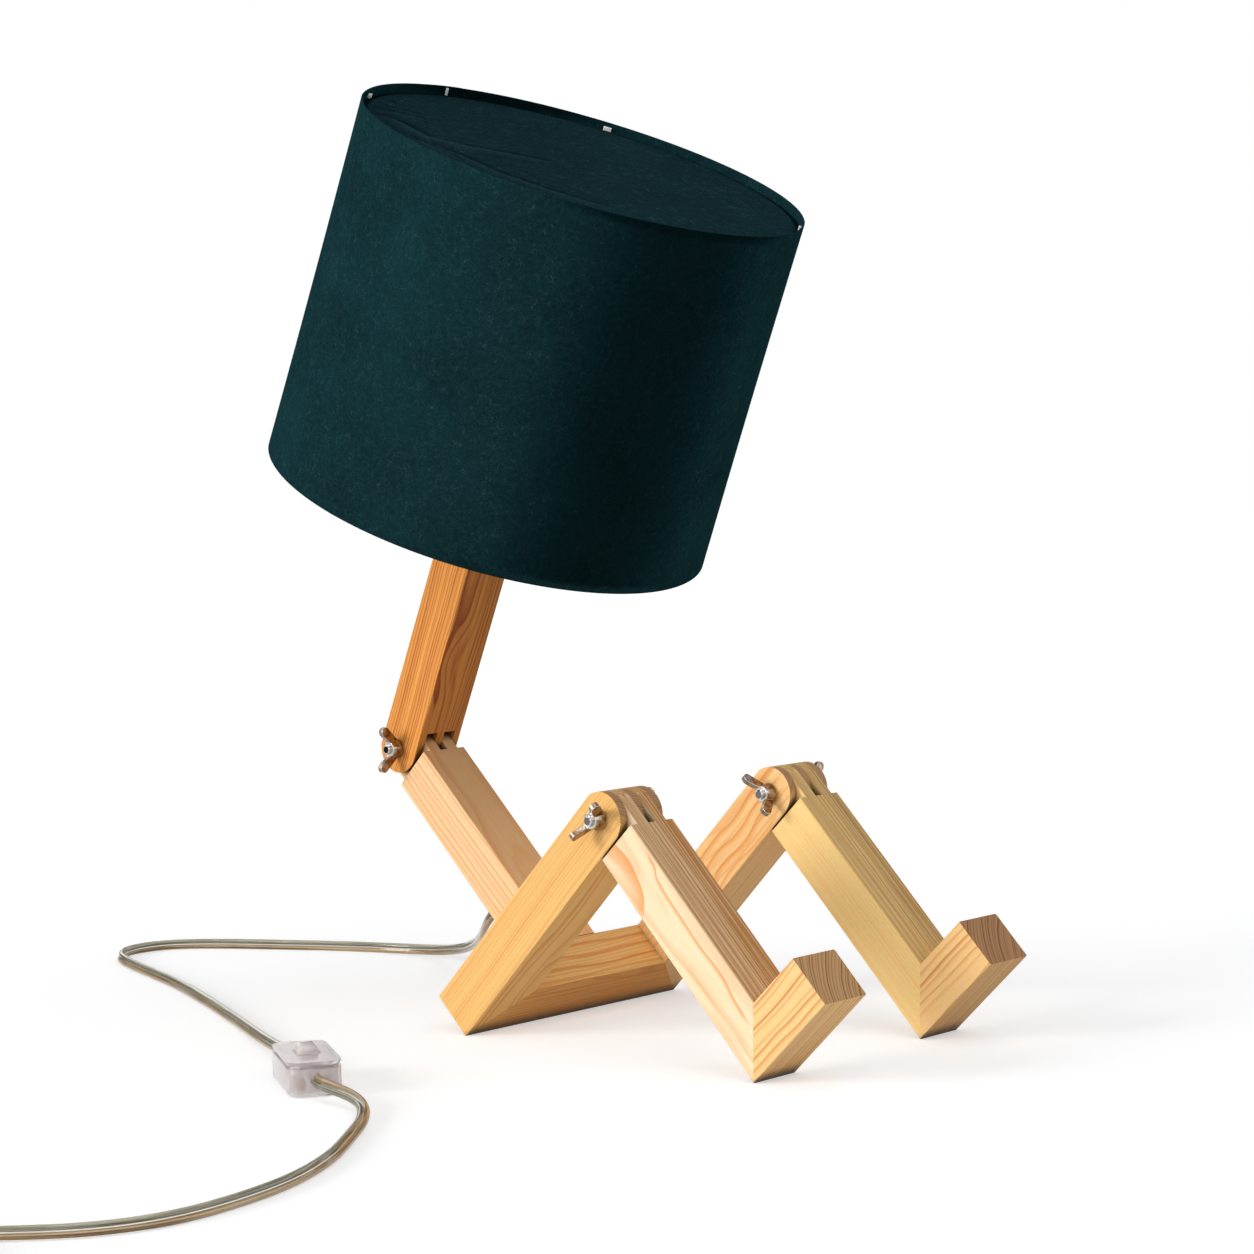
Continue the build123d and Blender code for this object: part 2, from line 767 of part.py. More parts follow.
def switch_terminals():
    length, width, height = terminal_size
    blocks = []
    for x in (-terminal_reach, terminal_reach):
        for y in (-terminal_offset, terminal_offset):
            block = Pos(x, y, switch_wall + height / 2) * Box(length, width, height)
            hole = Cylinder(terminal_hole_diameter / 2, height)
            blocks.append(block - Pos(x, y, switch_wall + height) * hole)
    return solids_of(blocks, switch_frame)


def switch_screws():
    screw = round_bar(switch_screw_head / 2, 0, switch_screw_head_height)
    screw += round_bar(switch_screw_diameter / 2, 0, switch_split + switch_screw_bite)
    screw -= Box(switch_screw_head, switch_screw_head / 6, switch_screw_head_height)
    return solids_of([Pos(x, y, 0) * screw for x, y in switch_screw_places], switch_frame)


# ---- Plug, in a frame whose X runs along its pins ----
coil_width = coil_turns_across * flex_width
coil_height = coil_turns_high * flex_width
tail_start = Vector(coil_centre[0] - coil_radius, coil_centre[1], flex_width / 2 + table_play)
plug_turn = Rot(0, 0, plug_heading)
plug_frame = Pos(tail_start.X, tail_start.Y, plug_thickness / 2) * plug_turn * Pos(plug_tail, 0, 0)


def plug_body():
    start = plug_relief_length
    end = start + plug_length
    outline = Polyline(
        (start, plug_tail_width / 2),
        (start + plug_length * plug_taper_share, plug_width / 2),
        (end, plug_width / 2),
        (end, -plug_width / 2),
        (start + plug_length * plug_taper_share, -plug_width / 2),
        (start, -plug_tail_width / 2),
        close=True,
    )
    body = extrude(make_face(outline), plug_thickness / 2, both=True)
    body = fillet(body.edges().filter_by(Axis.Z), plug_corner)
    faces = body.faces().sort_by(Axis.Z)
    body = fillet(faces[0].edges() + faces[-1].edges(), plug_edge)
    relief = Cone(plug_relief_start / 2, plug_relief_diameter / 2, start + plug_ridge, align=from_base)
    body += Rot(0, 90, 0) * relief
    for number in range(1, plug_ridge_count + 1):
        x = number * start / (plug_ridge_count + 1)
        body += Rot(0, 90, 0) * round_bar(plug_relief_diameter / 2, x, x + plug_ridge)
    socket = Rot(0, 90, 0) * round_bar(pin_root_diameter / 2 + dowel_play, end - pin_root, end + 1)
    for y in (-pin_spacing / 2, pin_spacing / 2):
        body -= Pos(0, y, 0) * socket
    return plug_frame * body


def plug_pins():
    end = plug_relief_length + plug_length
    tip = end + pin_length - pin_diameter / 2
    pin = round_bar(pin_diameter / 2, end + dowel_play, tip) + Pos(0, 0, tip) * Sphere(pin_diameter / 2)
    pin += round_bar(pin_root_diameter / 2, end - pin_root + dowel_play, tip)
    pins = [Pos(0, y, 0) * Rot(0, 90, 0) * pin for y in (-pin_spacing / 2, pin_spacing / 2)]
    return solids_of(pins, plug_frame)


# ---- Flex ----
def flex_run(name, points):
    """Round tube along straight runs joined by arcs as large as the runs allow."""
    points = [Vector(*point) for point in points]
    radii = []
    for before, here, after in zip(points, points[1:], points[2:]):
        turn = radians((here - before).get_angle(after - here))
        shorter = min((here - before).length, (after - here).length)
        radii.append(0.45 * shorter / tan(turn / 2))
    path = FilletPolyline(*points, radius=radii)
    section = Plane(origin=points[0], z_dir=points[1] - points[0]) * Circle(flex_width / 2)
    print(name, "length", round(path.length), "smallest radius", round(min(radii), 1))
    return sweep(section, path=path)


def along_axis(place, *distances):
    """Points at distances along the local X axis of a place."""
    return [tuple((place * Pos(distance, 0, 0)).position) for distance in distances]


def at_switch(end):
    """Straight piece of flex at an end of the switch: 1 towards the lamp, -1 away from it."""
    inside = switch_length / 2 - flex_grip
    middle = switch_frame * Pos(0, 0, switch_flex_height)
    return along_axis(middle, end * inside, end * (inside + flex_straight))


def supply_flex():
    mouth = bush_seat * Pos(0, 0, bush_flange_thickness) * Rot(0, -90, 0)
    return flex_run("supply_flex", along_axis(mouth, 0, flex_hang) + lamp_to_switch + at_switch(1)[::-1])


def flex_after_switch():
    angle = radians(coil_entry_angle)
    entry = Vector(coil_centre[0], coil_centre[1], flex_width / 2 + table_play)
    entry += coil_radius * Vector(cos(angle), sin(angle), 0)
    return flex_run("flex_after_switch", at_switch(-1) + switch_to_coil + [tuple(entry)])


def flex_coil():
    section = Pos(coil_radius, coil_height / 2) * RectangleRounded(coil_width, coil_height, coil_corner)
    return Pos(*coil_centre, 0) * revolve(Plane.XZ * section, Axis.Z)


def plug_flex():
    start = along_axis(Pos(*tail_start) * Rot(0, 0, plug_heading), 0, plug_tail / 3)
    return flex_run("plug_flex", start + along_axis(plug_frame, -plug_tail / 3, 0))


def build():
    pieces = {
        "hip_crossbar": hip_crossbar(),
        "torso": torso(),
        "torso_dowels": solids_of(dowel_at(torso_dowel_places(), torso_dowel_diameter, torso_dowel_length)),
        "neck": neck(),
        "flex_bush": flex_bush(),
        "torso_lead": torso_lead(),
        "neck_lead": neck_lead(),
        "lampholder_nipple": lampholder_nipple(),
        "lampholder_cap": lampholder_cap(),
        "lampholder_body": lampholder_body(),
        "lampholder_insert": lampholder_insert(),
        "lampholder_contact": lampholder_contact(),
        "lampholder_screw_shell": lampholder_screw_shell(),
        "shade_nut": shade_nut(),
        "bulb_cap": bulb_cap(),
        "bulb_globe": bulb_globe(),
        "shade_fabric": shade_fabric(),
        "shade_upper_ring": shade_upper_ring(),
        "shade_fitter": shade_fitter(),
        "shade_cover": shade_cover(),
        "shade_cover_hoop": shade_cover_hoop(),
        "shade_clips": shade_clips(),
        "switch_lower_shell": switch_lower_shell(),
        "switch_upper_shell": switch_upper_shell(),
        "switch_rocker": switch_rocker(),
        "switch_rocker_pin": switch_rocker_pin(),
        "switch_terminals": switch_terminals(),
        "switch_screws": switch_screws(),
        "plug_body": plug_body(),
        "plug_pins": plug_pins(),
        "supply_flex": supply_flex(),
        "flex_after_switch": flex_after_switch(),
        "flex_coil": flex_coil(),
        "plug_flex": plug_flex(),
    }
    hip_dowel_solids = []
    for side, word in ((-1, "right"), (1, "left")):
        pieces[f"{word}_thigh"] = thigh(side)
        pieces[f"{word}_shin"] = shin(side)
        pieces[f"{word}_foot"] = foot(side)
        dowels = dowel_at(foot_dowel_places(side), foot_dowel_diameter, foot_dowel_length)
        pieces[f"{word}_ankle_dowels"] = solids_of(dowels)
        hip_dowel_solids += dowel_at(hip_dowels(side), hip_dowel_diameter, hip_dowel_length)
    pieces["hip_dowels"] = solids_of(hip_dowel_solids, seat_frame.location)
    pieces.update(hinge_hardware("right_knee", knee, -leg_x, {"right": 47.0, "left": 20.0}))
    pieces.update(hinge_hardware("left_knee", knee, leg_x, {"right": -52.0, "left": 35.0}))
    pieces.update(hinge_hardware("neck", neck_pivot, 0.0, {"right": 86.0, "left": -30.0}))
    return pieces


def main():
    os.makedirs("parts", exist_ok=True)
    for name, piece in build().items():
        export_step(piece, f"parts/{name}.step")
    print("knee", knee, "neck pivot", neck_pivot, "shin angle", shin_angle, "corner", corner)


main()
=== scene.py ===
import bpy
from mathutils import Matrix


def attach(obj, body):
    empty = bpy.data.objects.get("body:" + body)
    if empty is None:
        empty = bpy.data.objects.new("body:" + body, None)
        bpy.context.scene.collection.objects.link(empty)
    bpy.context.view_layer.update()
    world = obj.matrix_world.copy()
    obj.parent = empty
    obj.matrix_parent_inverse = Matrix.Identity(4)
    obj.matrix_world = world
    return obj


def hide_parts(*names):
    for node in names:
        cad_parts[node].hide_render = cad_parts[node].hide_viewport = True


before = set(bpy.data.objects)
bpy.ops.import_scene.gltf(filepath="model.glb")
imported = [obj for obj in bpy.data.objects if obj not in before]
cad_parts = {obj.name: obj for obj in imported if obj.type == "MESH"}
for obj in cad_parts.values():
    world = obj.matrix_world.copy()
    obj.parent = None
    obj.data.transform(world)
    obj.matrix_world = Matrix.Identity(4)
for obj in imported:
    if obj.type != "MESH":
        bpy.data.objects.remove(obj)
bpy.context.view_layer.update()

from math import acos, cos, exp, pi, radians, sin, sqrt

import bmesh
import bpy
from mathutils import Matrix, Vector, noise

MM = 0.001
bpy.context.scene.view_settings.view_transform = "Standard"

# ---- Frames of the bars: degrees and millimetres ----
THIGH_RISE = 45.5
SHIN_ANGLE = -46.136
NECK_ANGLE = 66.5
LEG_X = 67.0
CORNER = Vector((0, 36.3272, -0.3313))
KNEE = Vector((0, -64.431, 122.175))
NECK_PIVOT = Vector((0, 154.236, 140.774))
BAR_WIDTH, BAR_DEPTH = 32.0, 28.0
SHIN_REACH = 156.0      # from the knee to the sole
X_AXIS = Vector((1, 0, 0))


def heading(angle):
    return Vector((0, -cos(radians(angle)), sin(radians(angle))))


def upward(angle):
    return Vector((0, sin(radians(angle)), cos(radians(angle))))


# ---- Meshes ----
def add_object(name, data):
    piece = bpy.data.objects.new(name, data)
    bpy.context.scene.collection.objects.link(piece)
    return piece


def mesh_object(name, vertices, faces, smooth=True):
    mesh = bpy.data.meshes.new(name)
    mesh.from_pydata([tuple(v) for v in vertices], [], faces)
    mesh.validate()
    mesh.update()
    for polygon in mesh.polygons:
        polygon.use_smooth = smooth
    return add_object(name, mesh)


def join_meshes(name, pieces):
    """One mesh from several (vertices, faces, material index) lists."""
    vertices, faces, indices = [], [], []
    for part_vertices, part_faces, index in pieces:
        offset = len(vertices)
        vertices += part_vertices
        faces += [tuple(i + offset for i in face) for face in part_faces]
        indices += [index] * len(part_faces)
    piece = mesh_object(name, vertices, faces)
    for polygon, index in zip(piece.data.polygons, indices):
        polygon.material_index = index
    return piece


def ring_faces(rings, count, closed=False, flipped=False):
    """Quads between rings of points, also from the last ring to the first if they are closed."""
    faces = []
    for ring in range(rings if closed else rings - 1):
        here, there = ring * count, (ring + 1) % rings * count
        for k in range(count):
            following = (k + 1) % count
            face = (here + k, there + k, there + following, here + following)
            faces.append((face[0], face[3], face[2], face[1]) if flipped else face)
    return faces


# ---- Camera, fitted to the edges and square corners of the bars ----
LENS, SENSOR = 86.793, 36.0
CAMERA_PLACE = Vector((-1.190258, -1.1005948, 0.3111497))
CAMERA_RIGHT = Vector((0.67454857, -0.73791783, -0.02148256))
CAMERA_UP = Vector((0.05920971, 0.02507287, 0.99793064))
CAMERA_BACK = Vector((-0.73585219, -0.67442466, 0.06060477))


def make_camera():
    data = bpy.data.cameras.new("camera")
    data.lens = LENS
    data.sensor_width = SENSOR
    data.sensor_fit = "HORIZONTAL"
    data.clip_start, data.clip_end = 0.05, 60
    camera = add_object("camera", data)
    place = Matrix((CAMERA_RIGHT, CAMERA_UP, CAMERA_BACK)).transposed().to_4x4()
    place.translation = CAMERA_PLACE
    camera.matrix_world = place
    bpy.context.scene.camera = camera


make_camera()


# ---- Materials ----
class Shading:
    """The node tree of a material or of the world, and the calls that build it."""

    def __init__(self, name, world=False):
        self.owner = (bpy.data.worlds if world else bpy.data.materials).new(name)
        self.owner.use_nodes = True
        self.tree = self.owner.node_tree
        self.tree.nodes.clear()
        self.output = self.tree.nodes.new("ShaderNodeOutputWorld" if world else "ShaderNodeOutputMaterial")
        self.coordinates = self.tree.nodes.new("ShaderNodeTexCoord")
        self.place = self.coordinates.outputs["Object"]
        self.normal = self.coordinates.outputs["Normal"]

    def put(self, socket, value):
        if isinstance(value, bpy.types.NodeSocket):
            self.tree.links.new(value, socket)
        elif hasattr(socket.default_value, "__len__"):
            size = len(socket.default_value)
            socket.default_value = (list(value) + [1.0] * size)[:size]
        else:
            socket.default_value = value

    def put_all(self, node, values):
        for socket, value in zip(node.inputs, values):
            self.put(socket, value)

    def node(self, kind, inputs=None, **settings):
        node = self.tree.nodes.new(kind)
        for name, value in settings.items():
            setattr(node, name, value)
        for name, value in (inputs or {}).items():
            self.put(node.inputs[name], value)
        return node

    def math(self, operation, *values, clamp=False):
        node = self.node("ShaderNodeMath", operation=operation, use_clamp=clamp)
        self.put_all(node, values)
        return node.outputs[0]

    def plus(self, first, second, clamp=False):
        return self.math("ADD", first, second, clamp=clamp)

    def minus(self, first, second):
        return self.math("SUBTRACT", first, second)

    def times(self, first, second, clamp=False):
        return self.math("MULTIPLY", first, second, clamp=clamp)

    def vector(self, operation, *values):
        node = self.node("ShaderNodeVectorMath", operation=operation)
        self.put_all(node, values)
        return node.outputs["Value" if operation in ("DOT_PRODUCT", "LENGTH") else "Vector"]

    def dot(self, first, second):
        return self.vector("DOT_PRODUCT", first, second)

    def scale(self, vector, by):
        node = self.node("ShaderNodeVectorMath", {"Scale": by}, operation="SCALE")
        self.put(node.inputs[0], vector)
        return node.outputs["Vector"]

    def combine(self, x, y, z):
        return self.node("ShaderNodeCombineXYZ", {"X": x, "Y": y, "Z": z}).outputs[0]

    def noise(self, vector, scale, detail=2.0, roughness=0.5, distortion=0.0):
        inputs = {"Vector": vector, "Scale": scale, "Detail": detail, "Roughness": roughness, "Distortion": distortion}
        return self.node("ShaderNodeTexNoise", inputs).outputs["Fac"]

    def line_noise(self, value, scale, detail):
        """Noise over a single value."""
        inputs = {"W": value, "Scale": scale, "Detail": detail}
        return self.node("ShaderNodeTexNoise", inputs, noise_dimensions="1D").outputs["Fac"]

    def between(self, value, low, high, to_low=0.0, to_high=1.0, smooth=False):
        kind = "SMOOTHSTEP" if smooth else "LINEAR"
        inputs = {"Value": value, "From Min": low, "From Max": high, "To Min": to_low, "To Max": to_high}
        return self.node("ShaderNodeMapRange", inputs, interpolation_type=kind).outputs["Result"]

    def mix(self, share, first, second):
        node = self.node("ShaderNodeMix", {"Factor": share}, data_type="RGBA")
        self.put(node.inputs[6], first)
        self.put(node.inputs[7], second)
        return node.outputs[2]

    def clouds(self, scale, first, second, low=0.3, high=0.7, detail=3.0, roughness=0.6):
        """Soft noise, and two colours mixed by it."""
        cloud = self.noise(self.place, scale, detail, roughness)
        return cloud, self.mix(self.between(cloud, low, high), first, second)

    def ramp(self, value, stops):
        """Grey levels at places from 0 to 1."""
        node = self.node("ShaderNodeValToRGB")
        self.put(node.inputs["Fac"], value)
        elements = node.color_ramp.elements
        while len(elements) < len(stops):
            elements.new(0.5)
        for element, (position, level) in zip(elements, stops):
            element.position = position
            element.color = (level, level, level, 1.0)
        return node.outputs["Color"]

    def curve(self, value, points):
        """A smooth line through (input, output) points."""
        node = self.tree.nodes.new("ShaderNodeFloatCurve")
        first, last = points[0][0], points[-1][0]
        low, high = min(y for _, y in points) - 0.5, max(y for _, y in points) + 0.5
        self.put(node.inputs["Value"], self.between(value, first, last))
        places = [((x - first) / (last - first), (y - low) / (high - low)) for x, y in points]
        line = node.mapping.curves[0]
        line.points[0].location, line.points[1].location = places[0], places[-1]
        for place in places[1:-1]:
            line.points.new(*place)
        node.mapping.update()
        return self.between(node.outputs["Value"], 0.0, 1.0, low, high)

    def bump(self, height, distance, strength):
        inputs = {"Height": height, "Distance": distance, "Strength": strength}
        return self.node("ShaderNodeBump", inputs).outputs["Normal"]

    def rays(self):
        """Whether a ray is seen, straight or by way of clear and shiny pieces, and whether it is mirrored."""
        light = self.node("ShaderNodeLightPath").outputs
        bent = self.math("MAXIMUM", light["Is Glossy Ray"], light["Is Transmission Ray"])
        return self.math("MAXIMUM", light["Is Camera Ray"], bent), light["Is Glossy Ray"]

    def finish(self, shader):
        self.put(self.output.inputs["Surface"], shader.outputs[0])
        return self.owner

    def surface(self, **inputs):
        """The inputs of the Principled node, with an underscore for each space in their names."""
        inputs = {name.replace("_", " "): value for name, value in inputs.items()}
        return self.finish(self.node("ShaderNodeBsdfPrincipled", inputs))


def srgb(red, green, blue, light=1.0):
    """Linear colour of an 8-bit display colour, times a factor."""
    shares = (red / 255, green / 255, blue / 255)
    return [(c / 12.92 if c <= 0.04045 else ((c + 0.055) / 1.055) ** 2.4) * light for c in shares]


def wood(name, origin, along, up, pith, tilt, spacing, wobble, pale, dark, streak, seed, line, across=X_AXIS,
         swirls=(), ends=((186, 146, 104), (140, 92, 54)), face=None, figures=(), figure_tint=None):
    """Sawn pine: growth rings about a pith line that runs nearly along the bar, all sizes in millimetres.

    spacing is the width of a ring, line its contrast, wobble the wander of the grain and streak its blotches.
    A swirl is a (across, up, along) place, a size, a strength and a stretch along the bar. face is a direction,
    a colour and a strength: the side of the bar that faces that way is painted darker with dense late wood, which
    is partly grain and partly painted shade of a side turned from the key light. figures are flames of late wood
    on the two sides across the bar, each a line of (along, up) points, the width over which it fades on its lower
    side, and a strength. ends are the colours of sawn ends.
    """
    s = Shading(name)
    p = s.scale(s.vector("SUBTRACT", s.place, origin * MM), 1 / MM)
    a, b, c = s.dot(p, across), s.dot(p, up), s.dot(p, along)

    def squeezed(sideways, lengthways):
        return s.combine(s.times(a, sideways), s.times(b, sideways), s.times(c, lengthways))

    # The grain wanders slowly along the bar.
    slow = s.vector("ADD", squeezed(0.011, 0.004), (seed, seed * 1.7, 0))
    wander_a = s.minus(s.noise(slow, 3.0, 2.5, 0.45), 0.5)
    wander_b = s.minus(s.noise(s.vector("ADD", slow, (7.3, 1.9, 4.4)), 3.0, 2.5, 0.45), 0.5)
    x = s.plus(s.minus(a, pith[0]), s.times(c, -tilt[0]))
    x = s.plus(x, s.times(wander_a, 6 * wobble))
    y = s.plus(s.minus(b, pith[1]), s.times(c, -tilt[1]))
    y = s.plus(y, s.times(wander_b, 6 * wobble))
    for middle, size, strength, stretch in swirls:
        reaches = (size, size, size * stretch)
        away = s.combine(*(s.math("DIVIDE", s.minus(value, place), reach)
                           for value, place, reach in zip((a, b, c), middle, reaches)))
        x = s.plus(x, s.times(s.math("EXPONENT", s.times(s.dot(away, away), -1.0)), strength))
    radius = s.math("SQRT", s.plus(s.times(x, x), s.times(y, y)))
    turn = s.math("DIVIDE", radius, spacing)
    turn = s.plus(turn, s.times(s.line_noise(s.times(turn, 0.55), 1.0, 1.0), 1.6))
    late = s.ramp(s.math("FRACT", turn),
                  [(0.0, 0.18), (0.12, 0.0), (0.45, 0.12), (0.8, 0.75), (0.93, 1.0), (1.0, 0.18)])
    # Each year is as dark as its summer was long.
    year = s.line_noise(s.math("FLOOR", turn), 0.63, 0.0)
    late = s.times(late, s.between(year, 0.3, 0.7, line * 0.45, line))
    fibre = s.noise(squeezed(1.9, 0.035), 1.6, 4.0, 0.65)
    coarse = s.noise(s.vector("ADD", squeezed(0.16, 0.008), (seed * 3.1, 0, 0)), 1.0, 2.0, 0.5)
    share = s.plus(late, s.times(s.minus(coarse, 0.45), streak))
    share = s.plus(share, s.times(s.minus(fibre, 0.5), 0.5), clamp=True)
    colour = s.mix(share, srgb(*pale), srgb(*dark))
    pores = s.noise(squeezed(5.0, 0.3), 1.0, 2.0, 0.6)
    colour = s.mix(s.between(pores, 0.35, 0.75, 0.0, 0.16), colour, srgb(150, 92, 50))
    # Painted shade with grain: the side turned the given way is darkened with dense late wood, standing partly for the
    # shade of a side turned from the key light.
    if face:
        direction, tint, strength = face
        dense = s.noise(squeezed(1.2, 0.007), 1.0, 3.0, 0.65)
        edge = s.between(a, -BAR_DEPTH / 2, BAR_DEPTH / 2, 0.85, 1.2)
        share = s.times(s.between(dense, 0.4, 0.62, 0.32, 0.92), edge)
        turned_to = s.between(s.dot(s.normal, direction), 0.6, 0.8)
        colour = s.mix(s.times(s.times(share, turned_to), strength, clamp=True), colour, srgb(*tint))
    side = s.between(s.math("ABSOLUTE", s.dot(s.normal, across)), 0.8, 0.95)
    for points, fade, strength in figures:
        inside = s.plus(s.minus(s.curve(c, points), b), s.times(s.minus(fibre, 0.5), 1.2))
        share = s.times(s.between(inside, -0.5, 0.5, smooth=True), s.between(inside, 0.5, fade, 1.0, 0.0))
        start, stop = points[0][0], points[-1][0]
        share = s.times(share, s.between(c, start, start + 9, 0.0, strength))
        share = s.times(share, s.between(c, stop - 9, stop, 1.0, 0.0))
        colour = s.mix(s.times(share, side), colour, srgb(*figure_tint))
    # Sawn ends drink more finish.
    sawn = s.between(s.math("ABSOLUTE", s.dot(s.normal, along)), 0.6, 0.85)
    end_colour = s.mix(s.plus(late, s.times(fibre, 0.3), clamp=True), srgb(*ends[0]), srgb(*ends[1]))
    colour = s.mix(sawn, colour, end_colour)
    # Painted shade: slots and seams between the bars are darkened by ambient occlusion.
    open_sky = s.node("ShaderNodeAmbientOcclusion", {"Distance": 0.009}, samples=6).outputs["AO"]
    colour = s.mix(s.between(open_sky, 0.16, 0.6, 0.96, 0.0), colour, srgb(38, 22, 11))
    height = s.plus(s.times(fibre, 0.6), s.times(late, -0.5))
    return s.surface(Base_Color=colour, Roughness=s.between(fibre, 0.2, 0.8, 0.45, 0.62), Specular_IOR_Level=0.12,
                     Normal=s.bump(height, 0.00022, 0.6))


def metal(name, colour, roughness):
    s = Shading(name)
    cloud, tone = s.clouds(260.0, srgb(*colour, 0.8), srgb(*colour))
    rough = s.between(s.noise(s.place, 2340.0, 2.0, 0.6), 0.2, 0.8, roughness * 0.7, roughness * 1.4)
    return s.surface(Base_Color=tone, Metallic=1.0, Roughness=rough, Normal=s.bump(cloud, 0.00003, 0.5))


def nut_metal(name):
    """Plated die casting: brown painted reflection of the wood on the flats, painted highlights on edges and hub."""
    s = Shading(name)
    # Painted reflection: the flats are tinted brown, as the wood they face would show in them.
    cloud, tone = s.clouds(300.0, srgb(112, 90, 72), srgb(168, 152, 136), 0.38, 0.62)
    # Painted highlight on the edges, where the rounded normal leaves the flat one.
    rounded = s.node("ShaderNodeBevel", {"Radius": 0.0006}, samples=6).outputs["Normal"]
    flat = s.node("ShaderNodeNewGeometry").outputs["Normal"]
    tone = s.mix(s.between(s.dot(rounded, flat), 0.80, 0.97, 1.0, 0.0), tone, srgb(236, 236, 238))
    # Painted highlight on the hub round each hinge.
    level_place = s.vector("MULTIPLY", s.place, (0, 1, 1))
    to_hinges = [s.vector("LENGTH", s.vector("SUBTRACT", level_place, hinge * MM)) for hinge in (NECK_PIVOT, KNEE)]
    painted_hub_highlight = s.between(s.math("MINIMUM", *to_hinges), 0.0040, 0.0047, 0.65, 0.0)
    tone = s.mix(painted_hub_highlight, tone, srgb(214, 210, 206))
    return s.surface(Base_Color=tone, Metallic=1.0, Roughness=s.between(cloud, 0.3, 0.7, 0.14, 0.26), Normal=rounded)


def stud_metal(name):
    """Bright stud whose cut ends are dull, and black at the neck."""
    s = Shading(name)
    cloud, tone = s.clouds(500.0, srgb(186, 184, 182), srgb(214, 212, 210))
    ends = s.math("ABSOLUTE", s.dot(s.normal, X_AXIS))
    at_neck = s.between(s.dot(s.place, (0, 1, 0)), 0.05, 0.06)
    tone = s.mix(s.between(ends, 0.7, 0.9), tone, s.mix(at_neck, srgb(112, 106, 102), srgb(30, 30, 32)))
    return s.surface(Base_Color=tone, Metallic=1.0, Roughness=0.22, Normal=s.bump(cloud, 0.00002, 0.5))


def plastic(name, colour, roughness, depth=0.00002, variation=0.12):
    s = Shading(name)
    _, tone = s.clouds(140.0, srgb(*colour, 1 - variation), srgb(*colour), 0.25, 0.75)
    fine = s.noise(s.place, 2400.0, 2.0, 0.6)
    return s.surface(Base_Color=tone, Roughness=s.between(fine, 0.2, 0.8, roughness * 0.8, roughness * 1.25),
                     Normal=s.bump(fine, depth, 0.6))


def clear_plastic(name, colour, roughness, milk, seam=None):
    """Clear moulding, a little milky.

    seam is the height where two halves meet, in metres, and the direction of the end on which it is dark.
    """
    s = Shading(name)
    cloud, tone = s.clouds(90.0, srgb(*colour, 0.93), srgb(*colour), 0.25, 0.75)
    if seam:
        height = s.node("ShaderNodeSeparateXYZ", {"Vector": s.place}).outputs["Z"]
        gap = s.math("ABSOLUTE", s.minus(height, seam[0]))
        facing = s.between(s.dot(s.normal, seam[1]), 0.3, 0.8, 0.1, 1.0)
        tone = s.mix(s.times(s.between(gap, 0.00012, 0.0003, 0.7, 0.0), facing), tone, srgb(70, 60, 64))
    return s.surface(Base_Color=tone, Roughness=roughness, IOR=1.46, Transmission_Weight=1.0 - milk,
                     Normal=s.bump(cloud, 0.00006, 0.4))


def glass(name):
    s = Shading(name)
    _, tone = s.clouds(40.0, srgb(236, 234, 228), srgb(250, 249, 245), detail=2.0, roughness=0.5)
    return s.surface(Base_Color=tone, Roughness=0.22, IOR=1.5, Subsurface_Weight=0.4, Subsurface_Scale=0.01,
                     Coat_Weight=0.3, Coat_Roughness=0.08)


